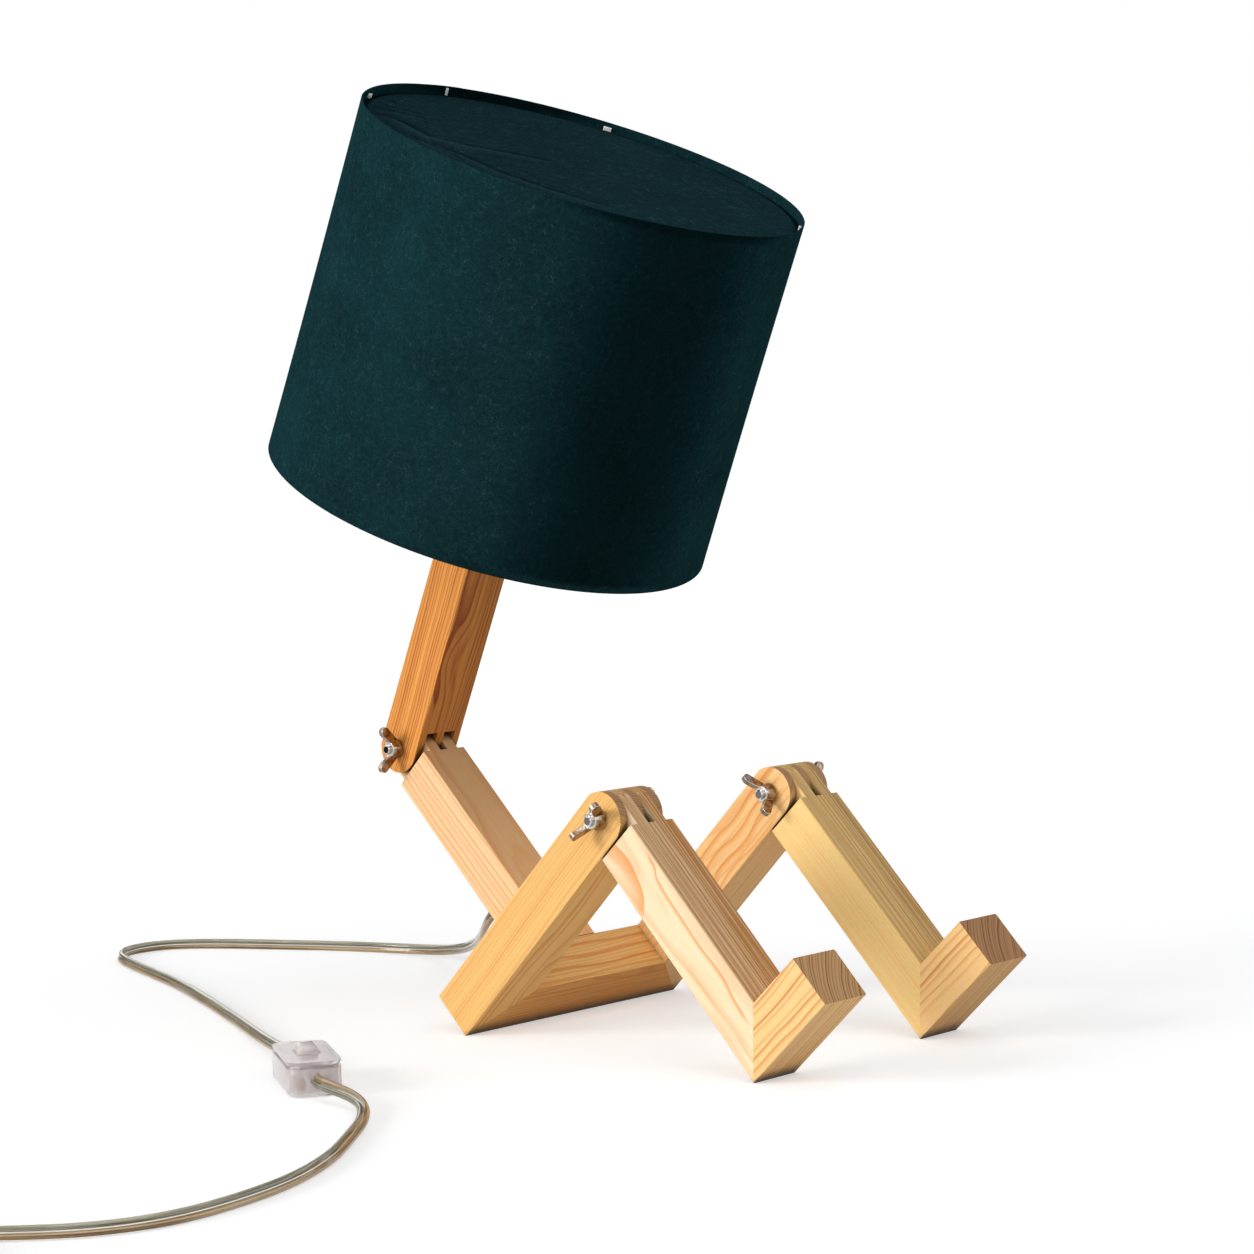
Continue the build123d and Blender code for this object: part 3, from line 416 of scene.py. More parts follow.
def cloth(name, colour, worn, hairs=1.0, shaded_side=None, rim=None, folds=None):
    """Close teal cloth with a short pile and stray light hairs.

    shaded_side is the direction of the side of the wall that is painted darker, as painted shade of the side
    turned from the key light, and rim the distance from the axis of the neck, in metres, beyond which the cloth
    is painted near-black where it dips at its edge, as painted shade. folds is the point attribute that holds
    the height of the folds: their backs get a painted highlight and their hollows painted shade.
    """
    s = Shading(name)
    _, tone = s.clouds(22.0, srgb(*colour), srgb(*worn), detail=4.0, roughness=0.55)
    mottle = s.noise(s.place, 420.0, 3.0, 0.65, 0.4)
    grain = s.noise(s.place, 1400.0, 2.0, 0.7)
    tone = s.mix(s.between(mottle, 0.35, 0.75, 0.0, 0.5), tone, srgb(*worn, 1.7))
    tone = s.mix(s.between(grain, 0.35, 0.7, 0.0, 0.35), tone, srgb(*colour, 0.45))
    # Hairs are short curved lines, where a slow noise passes its middle value.
    for scale, shift, strength in ((210.0, 0.0, 0.10), (340.0, 0.31, 0.08)):
        place = s.vector("ADD", s.place, (shift, shift * 2, shift * 3))
        line = s.math("ABSOLUTE", s.minus(s.noise(place, scale, 1.0, 0.5, 1.2), 0.5))
        broken = s.between(s.noise(place, scale * 0.8, 1.0, 0.5), 0.46, 0.62)
        share = s.times(s.between(line, 0.004, 0.022, strength * hairs, 0.0), broken)
        tone = s.mix(share, tone, srgb(104, 140, 142))
    # Painted highlight on the backs of the folds and painted shade in their hollows.
    if folds:
        height = s.node("ShaderNodeAttribute", attribute_name=folds).outputs["Fac"]
        tone = s.mix(s.between(height, 0.15, 1.6, 0.0, 0.35), tone, srgb(40, 70, 76))
        tone = s.mix(s.between(height, -0.9, -0.1, 0.7, 0.0), tone, srgb(5, 14, 17))
    # Painted shade on the side of the wall turned away from the key light.
    if shaded_side:
        painted_shade_share = s.between(s.dot(s.normal, shaded_side), 0.80, 0.965, 0.0, 0.82, smooth=True)
        tone = s.mix(painted_shade_share, tone, srgb(*colour, 0.25))
    # Painted shade: near-black where the cover dips at its edge against the wall.
    if rim:
        arm = s.vector("SUBTRACT", s.place, NECK_PIVOT * MM)
        axis = heading(NECK_ANGLE)
        far = s.vector("LENGTH", s.vector("SUBTRACT", arm, s.scale(axis, s.dot(arm, axis))))
        tone = s.mix(s.between(far, rim, rim + 0.0012, 0.0, 0.9), tone, srgb(2, 6, 8))
    height = s.plus(s.times(mottle, 0.7), s.times(grain, 0.5))
    return s.surface(Base_Color=tone, Roughness=1.0, Specular_IOR_Level=0.0, Sheen_Weight=0.03, Sheen_Roughness=0.4,
                     Sheen_Tint=srgb(90, 180, 185), Normal=s.bump(height, 0.00018, 0.7))


# ---- Cords: routes of part.py, in metres ----
LAMP_TO_SWITCH = [
    (0.0, 0.09021, 0.05612), (0.0, 0.09652, 0.04970), (0.0024, 0.1045, 0.0432), (0.009, 0.114, 0.0372),
    (0.023, 0.131, 0.029), (0.043, 0.1565, 0.020), (0.063, 0.188, 0.0112), (0.077, 0.223, 0.0052),
    (0.0755, 0.258, 0.0032), (0.062, 0.292, 0.0031), (0.045, 0.324, 0.0031), (0.025, 0.360, 0.0031),
    (0.007, 0.3835, 0.0031), (-0.010, 0.392, 0.0031), (-0.0275, 0.3915, 0.0031), (-0.042, 0.382, 0.0031),
    (-0.053, 0.3635, 0.0031), (-0.065, 0.330, 0.0031), (-0.084, 0.274, 0.0031), (-0.111, 0.213, 0.0031),
    (-0.1415, 0.1505, 0.0032), (-0.1695, 0.0975, 0.0046), (-0.1872, 0.0648, 0.0068), (-0.1968, 0.0458, 0.0082),
    (-0.20231, 0.03551, 0.0086), (-0.20655, 0.02873, 0.0086),
]
SWITCH_TO_COIL = [
    (-0.23145, -0.01113, 0.0086), (-0.23569, -0.01791, 0.0086), (-0.2383, -0.026, 0.0084), (-0.2388, -0.035, 0.0076),
    (-0.2396, -0.0445, 0.0065), (-0.2422, -0.054, 0.0052), (-0.248, -0.0635, 0.0042), (-0.257, -0.0735, 0.0035),
    (-0.270, -0.085, 0.0031), (-0.2885, -0.0985, 0.0031), (-0.319, -0.121, 0.0031), (-0.357, -0.1395, 0.0031),
    (-0.396, -0.148, 0.0031), (-0.432, -0.149, 0.0031), (-0.463, -0.137, 0.0031), (-0.489, -0.112, 0.0031),
]
COIL_CENTRE, COIL_RADIUS, COIL_ENTRY = (-0.548, -0.097), 0.0362, 46.0
LYING = 0.0031          # height of the flex's middle on the table
PLUG_ORIGIN = Vector((-0.58421, -0.14289, 0.00685))
PLUG_HEADING = -94.0
LOBE, CORE, OFFSET = 0.00176, 0.00106, 0.00140      # radii of insulation and core, and how far out they stand


def coil_points():
    """Two turns side by side on the table and one on top of them, then out to the plug."""
    points = []
    total, steps = 3 * 360 + (180 - COIL_ENTRY), 46
    for step in range(steps + 1):
        angle = total * step / steps
        turn = angle / 360
        if turn <= 1.0:
            radius, height = COIL_RADIUS, LYING
        elif turn <= 2.0:
            radius, height = COIL_RADIUS - 0.0062 * min(1, (turn - 1.0) * 2.5), LYING
        elif turn <= 3.1:
            share = min(1, (turn - 2.0) * 3.5)
            radius, height = 0.0300 + 0.0032 * share, LYING + 0.0056 * share
        else:
            share = min(1, (turn - 3.1) / 0.22)
            radius, height = 0.0332 + 0.0040 * share, 0.0087
        angle = radians(COIL_ENTRY + angle)
        points.append((COIL_CENTRE[0] + radius * cos(angle), COIL_CENTRE[1] + radius * sin(angle), height))
    return points


def plug_point(x):
    angle = radians(PLUG_HEADING)
    return (PLUG_ORIGIN.x + x * cos(angle), PLUG_ORIGIN.y + x * sin(angle), PLUG_ORIGIN.z)


def spline_path(name, points):
    """Points along the smooth line of a route."""
    curve = bpy.data.curves.new(name, "CURVE")
    curve.dimensions = "3D"
    curve.resolution_u = 8
    spline = curve.splines.new("NURBS")
    spline.points.add(len(points) - 1)
    for spline_point, point in zip(spline.points, points):
        spline_point.co = (*point, 1.0)
    spline.order_u = 3
    spline.use_endpoint_u = True
    mesh = bpy.data.meshes.new_from_object(bpy.data.objects.new(name, curve))
    path = [v.co.copy() for v in mesh.vertices]
    bpy.data.meshes.remove(mesh)
    bpy.data.curves.remove(curve)
    return path


def figure_eight(lobe, offset, count):
    """Outline of two joined round conductors, as (sideways, up) points."""
    meet = pi - acos(offset / lobe)
    outline = []
    for side in (1, -1):
        for step in range(count):
            angle = -meet + 2 * meet * (step + 0.5) / count
            outline.append((side * (offset + lobe * cos(angle)), side * lobe * sin(angle)))
    return outline


def round_section(radius, centre, count):
    return [(centre + radius * cos(2 * pi * k / count), radius * sin(2 * pi * k / count)) for k in range(count)]


def path_frames(path, roll):
    """For each point of a path: place, sideways and up directions, rolled about the path."""
    frames = []
    travelled = 0.0
    for index, point in enumerate(path):
        before, after = path[max(index - 1, 0)], path[min(index + 1, len(path) - 1)]
        tangent = (after - before).normalized()
        side = tangent.cross(Vector((0, 0, 1))).normalized()
        up = side.cross(tangent).normalized()
        if index:
            travelled += (point - path[index - 1]).length
        angle = roll(travelled)
        frames.append((point, side * cos(angle) + up * sin(angle), up * cos(angle) - side * sin(angle)))
    return frames


def swept(frames, outline):
    """An outline carried along a path, with closed ends."""
    count, last = len(outline), (len(frames) - 1) * len(outline)
    vertices = [point + side * u + up * v for point, side, up in frames for u, v in outline]
    faces = ring_faces(len(frames), count)
    faces.append(tuple(range(count)))
    faces.append(tuple(reversed(range(last, last + count))))
    return vertices, faces


def flex_cord(name, points, roll):
    """Flat twin flex: clear insulation round two cores."""
    path = spline_path(name, points)
    frames = path_frames(path, roll)
    outlines = [figure_eight(LOBE, OFFSET, 9), round_section(CORE, OFFSET, 12), round_section(CORE, -OFFSET, 12)]
    piece = join_meshes(name, [(*swept(frames, outline), k) for k, outline in enumerate(outlines)])
    # Where each point lies across and along the cord, so that the strands follow it.
    travelled = [0.0]
    for before, after in zip(path, path[1:]):
        travelled.append(travelled[-1] + (after - before).length)
    lay = piece.data.attributes.new("lay", "FLOAT_VECTOR", "POINT")
    places = [(u, v, along) for outline in outlines for along in travelled for u, v in outline]
    lay.data.foreach_set("vector", [value for place in places for value in place])
    for material in (flex_clear, core_tinned, core_copper):
        piece.data.materials.append(material)
    return piece, path


def flex_material():
    s = Shading("flex_insulation")
    _, tone = s.clouds(60.0, srgb(214, 212, 200), srgb(228, 226, 216), detail=2.0, roughness=0.5)
    return s.surface(Base_Color=tone, Roughness=0.06, IOR=1.42, Transmission_Weight=1.0)


def strand_material(name, dull, bright):
    """Stranded conductor seen through its insulation: long streaks that wind slowly round it."""
    s = Shading(name)
    lay = s.node("ShaderNodeAttribute", attribute_name="lay").outputs["Vector"]
    streaks = s.noise(s.vector("MULTIPLY", lay, (1600.0, 1600.0, 14.0)), 1.0, 3.0, 0.6, 0.3)
    # Painted glints: pale flecks along the strands.
    shine = s.noise(s.vector("MULTIPLY", lay, (300.0, 300.0, 9.0)), 1.0, 2.0, 0.5)
    tone = s.mix(s.between(streaks, 0.35, 0.65), srgb(*dull), srgb(*bright))
    tone = s.mix(s.between(shine, 0.52, 0.72, 0.0, 0.45), tone, srgb(236, 232, 214))
    return s.surface(Base_Color=tone, Metallic=0.35, Roughness=0.4, Specular_IOR_Level=0.3,
                     Normal=s.bump(streaks, 0.0001, 0.8))


flex_clear = flex_material()
core_tinned = strand_material("tinned_strands", (104, 102, 86), (206, 202, 182))
core_copper = strand_material("copper_strands", (126, 100, 66), (218, 186, 146))


def between_keys(value, keys):
    """Straight lines between (place, height) keys."""
    for (low, start), (high, end) in zip(keys, keys[1:]):
        if value <= high:
            return start + (end - start) * max(0.0, value - low) / (high - low)
    return keys[-1][1]


def lamp_roll(distance):
    """The flex stands on its edge behind the lamp, and leans over from its bend to the switch."""
    lean = between_keys(distance, ((0.0, 78), (0.35, 78), (0.43, 134), (0.60, 122)))
    return radians(lean + 6 * sin(distance * 9))


def coil_roll(distance):
    """It twists by a third of a turn from the switch into the bend in front of it."""
    lean = between_keys(distance, ((0.0, -62), (0.03, -55), (0.062, 0), (0.11, 42), (0.19, 62), (0.4, 66)))
    return radians(lean + 5 * sin(1.5 + distance * 8))


lamp_flex, lamp_path = flex_cord("flex_lamp_to_switch", LAMP_TO_SWITCH, lamp_roll)
into_plug = [plug_point(x) for x in (-0.028, -0.012, 0.0, 0.004)]
plug_cord, plug_path = flex_cord("flex_switch_to_plug", SWITCH_TO_COIL + coil_points() + into_plug, coil_roll)

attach(lamp_flex, "seat")
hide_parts("supply_flex")
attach(plug_cord, "seat")
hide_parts("flex_after_switch", "flex_coil", "plug_flex")


# ---- Timber ----
def bar_axes(angle):
    return heading(angle), upward(angle)


def beside(x, place):
    return Vector((x, place.y, place.z))


thigh_along, thigh_up = bar_axes(THIGH_RISE)
torso_along, torso_up = bar_axes(THIGH_RISE + 90)
neck_along, neck_up = bar_axes(NECK_ANGLE)
shin_along, shin_up = bar_axes(SHIN_ANGLE)
foot_along, foot_up = bar_axes(SHIN_ANGLE + 90)
TORSO_BASE = CORNER + (BAR_WIDTH - BAR_DEPTH / 2) * thigh_along + BAR_DEPTH * torso_along
SECTION_MIDDLE = CORNER + BAR_DEPTH / 2 * torso_along
ANKLE = KNEE + (SHIN_REACH - BAR_DEPTH / 2) * shin_along

SHIN_FIGURES = (
    (((2, -8), (10, -3), (18, -0.5), (27, 0.5), (36, -1), (44, -3.5), (50, -8), (58, -20)), 12, 0.8),
    (((28, 15), (34, 13.2), (41, 11.8), (46, 9), (54, 8), (68, 7.6), (87, 7.2), (106, 8), (120, 5.8), (136, 5)),
     2.6, 0.8),
    (((20, -13), (32, -14), (46, -13), (60, -16)), 5, 0.4), (((84, -7), (104, -5.5), (124, -7), (144, -6)), 5, 0.22),
)
THIGH_FIGURES = (
    (((60, 8), (85, 8.5), (110, 9.5), (130, 8), (150, 10), (176, 8)), 3.6, 0.75),
    (((60, 1), (85, 1.5), (105, 3.4), (125, 1.2), (150, 3.2), (172, -1)), 3.2, 0.75),
    (((60, -5), (85, -6), (105, -3.6), (125, -5.8), (145, -2.8), (170, -6)), 4.2, 0.7),
    (((60, -11), (85, -11.5), (110, -9.6), (130, -11.6), (156, -9)), 3.0, 0.6),
)
CROSSBAR_FIGURES = (
    (((-70, 9), (-35, 8), (0, 9.4), (30, 8.6), (70, 9.5)), 2.6, 0.7),
    (((-70, 2), (-30, 3.6), (5, 1.6), (35, 2.8), (70, 2)), 3.2, 0.6),
    (((-70, -5), (-25, -4), (10, -6), (40, -4.6), (70, -5)), 2.6, 0.7),
    (((-70, -10), (-20, -11), (20, -9.8), (70, -11)), 2.4, 0.55),
)
# Each face entry paints the side of its bar that is turned from the key light darker with dense late wood, partly as
# painted shade.
timber = {
    # The neck's sawn ends show only at the bottoms of its slots, so they are painted near-black there as painted
    # shade.
    "neck": wood("pine_neck", NECK_PIVOT, neck_along, neck_up, pith=(-11, -30), tilt=(0.02, 0.02), spacing=2.1,
                 wobble=1.0, pale=(246, 168, 83), dark=(172, 82, 30), streak=1.0, seed=1.0, line=0.95,
                 face=(-neck_up, (110, 56, 22), 0.5), ends=((70, 40, 18), (40, 22, 10)),
                 swirls=[((-9, -14, 60), 11, 9, 1.9)]),
    "torso": wood("pine_torso", TORSO_BASE, torso_along, torso_up, pith=(4, 60), tilt=(0.0, 0.012), spacing=3.2,
                  wobble=1.0, pale=(255, 215, 164), dark=(234, 152, 88), streak=0.3, seed=2.0, line=0.85,
                  face=(-torso_up, (248, 184, 116), 0.75)),
    "hip_crossbar": wood("pine_crossbar", SECTION_MIDDLE, X_AXIS, torso_along, pith=(34, 40), tilt=(0.0, 0.02),
                         spacing=2.2, wobble=1.6, pale=(255, 208, 136), dark=(226, 144, 74), streak=0.6, seed=3.0,
                         line=0.7, across=thigh_along, face=(-torso_along, (222, 142, 52), 0.8),
                         figures=CROSSBAR_FIGURES, figure_tint=(222, 130, 52)),
    "right_thigh": wood("pine_right_thigh", beside(-LEG_X, SECTION_MIDDLE), thigh_along, thigh_up, pith=(14, 70),
                        tilt=(0.0, 0.012), spacing=1.3, wobble=0.7, pale=(251, 202, 125), dark=(220, 138, 64),
                        streak=0.45, seed=4.0, line=0.85),
    "left_thigh": wood("pine_left_thigh", beside(LEG_X, SECTION_MIDDLE), thigh_along, thigh_up, pith=(-60, 26),
                       tilt=(0.02, -0.01), spacing=2.4, wobble=1.4, pale=(255, 211, 146), dark=(224, 142, 74),
                       streak=0.4, seed=5.0, line=0.5, figures=THIGH_FIGURES, figure_tint=(228, 138, 60)),
    "right_shin": wood("pine_right_shin", beside(-LEG_X, KNEE), shin_along, shin_up, pith=(62, 2), tilt=(0.01, 0.0),
                       spacing=1.35, wobble=0.6, pale=(255, 232, 192), dark=(232, 160, 92), streak=0.22, seed=6.0,
                       line=0.5, face=(shin_up, (184, 126, 66), 1.2), figures=SHIN_FIGURES,
                       figure_tint=(234, 150, 70)),
    "left_shin": wood("pine_left_shin", beside(LEG_X, KNEE), shin_along, shin_up, pith=(10, 72), tilt=(0.0, 0.012),
                      spacing=1.9, wobble=0.7, pale=(255, 221, 150), dark=(255, 186, 102), streak=0.3, seed=7.0,
                      line=0.6, face=(shin_up, (162, 122, 72), 0.9)),
    "right_foot": wood("pine_right_foot", beside(-LEG_X, ANKLE), foot_along, foot_up, pith=(60, -40),
                       tilt=(0.004, 0.0), spacing=1.9, wobble=0.7, pale=(255, 214, 148), dark=(218, 134, 62),
                       streak=0.3, seed=8.0, line=0.95, ends=((208, 166, 116), (140, 88, 46))),
    "left_foot": wood("pine_left_foot", beside(LEG_X, ANKLE), foot_along, foot_up, pith=(50, -36), tilt=(0.004, 0.0),
                      spacing=2.0, wobble=0.8, pale=(255, 212, 146), dark=(218, 136, 66), streak=0.3, seed=9.0,
                      line=0.9, face=(-foot_up, (176, 118, 66), 0.5), ends=((186, 140, 96), (116, 70, 40))),
}

SWITCH_END = (-0.53, -0.848, 0.0)       # the way in which the end of the switch near the camera faces
nut_zinc = nut_metal("nut_plate")
bright_zinc = metal("bright_zinc", (222, 221, 218), 0.2)
bright_ring = metal("bright_ring", (190, 190, 192), 0.28)
brass = metal("brass", (205, 170, 100), 0.3)
holder = plastic("holder_plastic", (34, 34, 36), 0.4)
dowel_wood = plastic("dowel_beech", (214, 176, 126), 0.7, 0.00008, 0.2)
clip_white = plastic("clip_white", (238, 238, 236), 0.35)
case_clear = clear_plastic("switch_case", (246, 239, 239), 0.12, 0.29, seam=(0.0142, SWITCH_END))
rocker_clear = clear_plastic("rocker_clear", (248, 242, 240), 0.05, 0.42)
teal = cloth("shade_cloth", (14, 36, 40), (20, 50, 54), shaded_side=(-0.285, -0.9585, 0.0))
# The cover is the wall's cloth, painted a little darker as painted shade against the top light it faces.
teal_top = cloth("cover_cloth", (15, 31, 36), (20, 42, 48), hairs=1.3, rim=0.1180, folds="fold")

HINGES = ("right_knee", "left_knee", "neck")
DRESS = (       # each material and the CAD nodes that wear it
    (nut_zinc, [f"{hinge}_{side}_wing_nut" for hinge in HINGES for side in ("right", "left")]),
    (stud_metal("stud_plate"), [f"{hinge}_stud" for hinge in HINGES]),
    (bright_zinc, [f"{hinge}_washers" for hinge in HINGES]),
    (bright_zinc, ["lampholder_nipple", "switch_screws", "switch_rocker_pin"]),
    (bright_ring, ["shade_upper_ring", "shade_fitter", "shade_cover_hoop", "plug_pins"]),
    (brass, ["lampholder_contact", "lampholder_screw_shell", "switch_terminals", "bulb_cap"]),
    (holder, ["lampholder_cap", "lampholder_body", "shade_nut"]),
    (plastic("holder_insert", (228, 222, 206), 0.6), ["lampholder_insert"]),
    (dowel_wood, ["hip_dowels", "torso_dowels", "right_ankle_dowels", "left_ankle_dowels"]),
    (clip_white, ["shade_clips"]),
    (plastic("bush_plastic", (222, 220, 212), 0.4), ["flex_bush"]),
    (flex_clear, ["torso_lead", "neck_lead"]),
    (case_clear, ["switch_lower_shell", "switch_upper_shell"]),
    (rocker_clear, ["switch_rocker"]),
    (clear_plastic("plug_case", (222, 220, 214), 0.16, 0.45), ["plug_body"]),
    (glass("bulb_glass"), ["bulb_globe"]),
    (teal, ["shade_fabric", "shade_cover"]),
    *((material, [node]) for node, material in timber.items()),
)
for material, nodes in DRESS:
    for node in nodes:
        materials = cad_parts[node].data.materials
        materials.clear()
        materials.append(material)


# ---- Wing nuts that show only a tip, turned on their studs to stand as in the photograph ----
def turned_nut(name, node, hinge, angle):
    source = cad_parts[node]
    mesh = source.data.copy()
    mesh.transform(source.matrix_world)
    middle = Matrix.Translation(hinge * MM)
    mesh.transform(middle @ Matrix.Rotation(radians(angle), 4, "X") @ middle.inverted())
    mesh.materials.clear()
    mesh.materials.append(nut_zinc)
    piece = add_object(name, mesh)
    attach(piece, node)
    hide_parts(node)


turned_nut("neck_inner_nut", "neck_left_wing_nut", NECK_PIVOT, 60)
turned_nut("right_knee_inner_nut", "right_knee_left_wing_nut", KNEE, 80)
turned_nut("left_knee_outer_nut", "left_knee_left_wing_nut", KNEE, 120)


# ---- Inline switch, in millimetres; its own X runs towards the lamp ----
SWITCH_PLACE = Matrix.Translation(Vector((-219.0, 8.8, 0.0))) @ Matrix.Rotation(radians(58), 4, "Z")
SWITCH_LENGTH, SWITCH_WIDTH, SWITCH_HEIGHT, SWITCH_SPLIT, SWITCH_WALL = 55.0, 27.0, 17.4, 14.2, 1.5
CASE_CORNER, CASE_EDGE, CASE_SEAM = 6.4, 3.2, 0.06
WINDOW = (15.3, 12.7, 1.6)              # length, width and corner of the opening for the rocker
ROCKER_AXIS, ROCKER_TILT = 11.2, 7.0
KEY_SIZE, KEY_ROUNDING, KEY_RISE = (12.8, 10.6, 9.0), 2.6, 5.9


def rounded_outline(length, width, corner, height):
    """Points of a level rounded rectangle."""
    points, steps = [], 7
    for quarter, (side_x, side_y) in enumerate(((1, 1), (-1, 1), (-1, -1), (1, -1))):
        for step in range(steps + 1):
            angle = pi / 2 * (quarter + step / steps)
            points.append(Vector((side_x * (length / 2 - corner) + corner * cos(angle),
                                  side_y * (width / 2 - corner) + corner * sin(angle), height)))
    return points


def rounded_block(size, radius):
    """Vertices and faces of a block with rounded edges, about its own middle."""
    form = bmesh.new()
    bmesh.ops.create_cube(form, size=1.0)
    bmesh.ops.scale(form, vec=Vector(size), verts=form.verts)
    bmesh.ops.bevel(form, geom=form.edges[:], offset=radius, segments=4, profile=0.5, affect="EDGES")
    form.verts.index_update()
    vertices = [v.co.copy() for v in form.verts]
    faces = [tuple(v.index for v in face.verts) for face in form.faces]
    form.free()
    return vertices, faces


def loft(outlines):
    """Closed skin over outlines of equal count, from the first to the last."""
    count, last = len(outlines[0]), (len(outlines) - 1) * len(outlines[0])
    vertices = [point for outline in outlines for point in outline]
    faces = ring_faces(len(outlines), count, flipped=True)
    faces.append(tuple(reversed(range(count))))
    faces.append(tuple(range(last, last + count)))
    return vertices, faces


def switch_object(name, points, faces, material):
    piece = mesh_object(name, [(SWITCH_PLACE @ point) * MM for point in points], faces)
    piece.data.materials.append(material)
    return piece


def make_switch_case():
    """Clear case with rounded corners and a deep seam, open on top for the rocker."""
    def level(height, inset):
        corner = max(CASE_CORNER - inset * 0.6, 0.8)
        return rounded_outline(SWITCH_LENGTH - 2 * inset, SWITCH_WIDTH - 2 * inset, corner, height)

    turns = [radians(90 * k / 6) for k in range(7)]
    outer = [level(CASE_EDGE - CASE_EDGE * cos(a), CASE_EDGE - CASE_EDGE * sin(a)) for a in turns]
    outer += [level(SWITCH_SPLIT + rise, inset) for rise, inset in ((-0.15, 0), (-0.1, CASE_SEAM), (0.1, CASE_SEAM))]
    # The upper half is drawn in at the seam and widens to a sharp rim at its top.
    outer += [level(SWITCH_HEIGHT - CASE_EDGE * sin(a), CASE_EDGE - CASE_EDGE * cos(a)) for a in reversed(turns)]
    top = SWITCH_HEIGHT - SWITCH_WALL
    window = [rounded_outline(*WINDOW, height) for height in (SWITCH_HEIGHT + 0.05, top)]
    inner = [level(top, SWITCH_WALL + 2.0), level(top - 1.4, SWITCH_WALL + 0.5), level(top - 2.4, SWITCH_WALL),
             level(SWITCH_WALL + 2.4, SWITCH_WALL), level(SWITCH_WALL + 0.8, SWITCH_WALL + 0.8),
             level(SWITCH_WALL, SWITCH_WALL + 2.4)]
    piece = switch_object("switch_case", *loft(outer + window + inner), case_clear)
    piece.data.set_sharp_from_angle(angle=radians(32))
    return piece


def make_rocker():
    """Rounded key, pressed down on one side."""
    block, faces = rounded_block(KEY_SIZE, KEY_ROUNDING)
    tilted = Matrix.Translation(Vector((0, 0, ROCKER_AXIS))) @ Matrix.Rotation(radians(-ROCKER_TILT), 4, "Y")
    return switch_object("switch_key", [tilted @ (v + Vector((0, 0, KEY_RISE))) for v in block], faces, rocker_clear)


switch_case = make_switch_case()
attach(switch_case, "seat")
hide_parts("switch_lower_shell", "switch_upper_shell")
switch_key = make_rocker()
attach(switch_key, "rocker")
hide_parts("switch_rocker")


# ---- Shade cloth, in millimetres along the axis of the neck ----
WALL_FROM, WALL_TO = 153.0, 353.0
WALL_RADIUS_FROM, WALL_RADIUS_TO = 125.0, 123.0
WALL = 1.0
COVER_TOP, COVER_RADIUS, COVER = 348.1, 121.5, 1.0
LAP_FROM, LAP_TO = 81.5, 86.5     # the wall's ends overlap between these angles
AROUND = 180


def shade_point(radius, angle, height):
    """A place on the shade: angle in degrees from +X about the axis of the neck."""
    a = radians(angle)
    return (NECK_PIVOT + neck_along * height + X_AXIS * (radius * cos(a)) + neck_up * (radius * sin(a))) * MM


def hump(value, middle, width):
    return exp(-((value - middle) / width) ** 2)


def smooth_step(value, low, high):
    share = min(1.0, max(0.0, (value - low) / (high - low)))
    return share * share * (3 - 2 * share)


def wall_offset(angle, height):
    """How far the cloth lies from a true cone: slack between the hoops, and the lap of the seam."""
    share = (height - WALL_FROM) / (WALL_TO - WALL_FROM)
    free = sin(pi * min(1.0, max(0.0, share)))
    slack = -0.35 * free + 0.16 * free * sin(radians(5 * angle) + 1.0) + 0.1 * free * sin(radians(11 * angle) + 2.6)
    lap = 0.6 * (smooth_step(angle, LAP_FROM - 0.5, LAP_FROM + 0.3) - smooth_step(angle, LAP_TO + 0.6, LAP_TO + 9))
    return slack + lap


def wall_profile():
    """(height, distance in from the outer face) once round the thickness, with small rounded rims."""
    outer = [(WALL_FROM + (WALL_TO - WALL_FROM) * k / 40, 0.0) for k in range(41)]
    outer[0] = (WALL_FROM + 0.3, 0.0)
    outer[-1] = (WALL_TO - 0.3, 0.0)
    inner = [(height, WALL) for height, _ in reversed(outer)]
    return outer + [(WALL_TO, 0.3), (WALL_TO, WALL - 0.3)] + inner + [(WALL_FROM, WALL - 0.3), (WALL_FROM, 0.3)]


def make_wall():
    profile = wall_profile()
    angles = [360 * k / AROUND for k in range(AROUND)]
    # Extra rows stand close together where the lap starts and ends.
    angles = sorted(set(angles) | {LAP_FROM - 0.5, LAP_FROM - 0.1, LAP_FROM + 0.3, LAP_TO + 0.6})
    vertices = []
    for angle in angles:
        for height, inward in profile:
            taper = (WALL_RADIUS_TO - WALL_RADIUS_FROM) * (height - WALL_FROM) / (WALL_TO - WALL_FROM)
            radius = WALL_RADIUS_FROM + taper + wall_offset(angle, height) - inward
            vertices.append(shade_point(radius, angle, height))
    piece = mesh_object("shade_wall", vertices, ring_faces(len(angles), len(profile), closed=True))
    piece.data.materials.append(teal)
    return piece


FOLDS = (   # (places across the shade, width, height): two long folds, then short ones near the left rim
    (((-100, 68), (-88, 59), (-91, 29), (-72, 16), (-43, 8), (-14, 2)), 4.2, 2.1),
    (((-99, 22), (-91, 2), (-89, -28), (-75, -52), (-60, -67), (-46, -76)), 4.2, 1.7),
    (((-106, 38), (-101, 8), (-99, -18)), 3.0, 1.3), (((-84, 78), (-66, 68), (-50, 60)), 3.2, 1.1),
    (((-76, 88), (-60, 76), (-44, 70)), 3.2, 1.0), (((-64, 98), (-52, 84)), 2.6, 0.8),
    (((-92, -44), (-80, -62)), 3.0, 1.0),
)


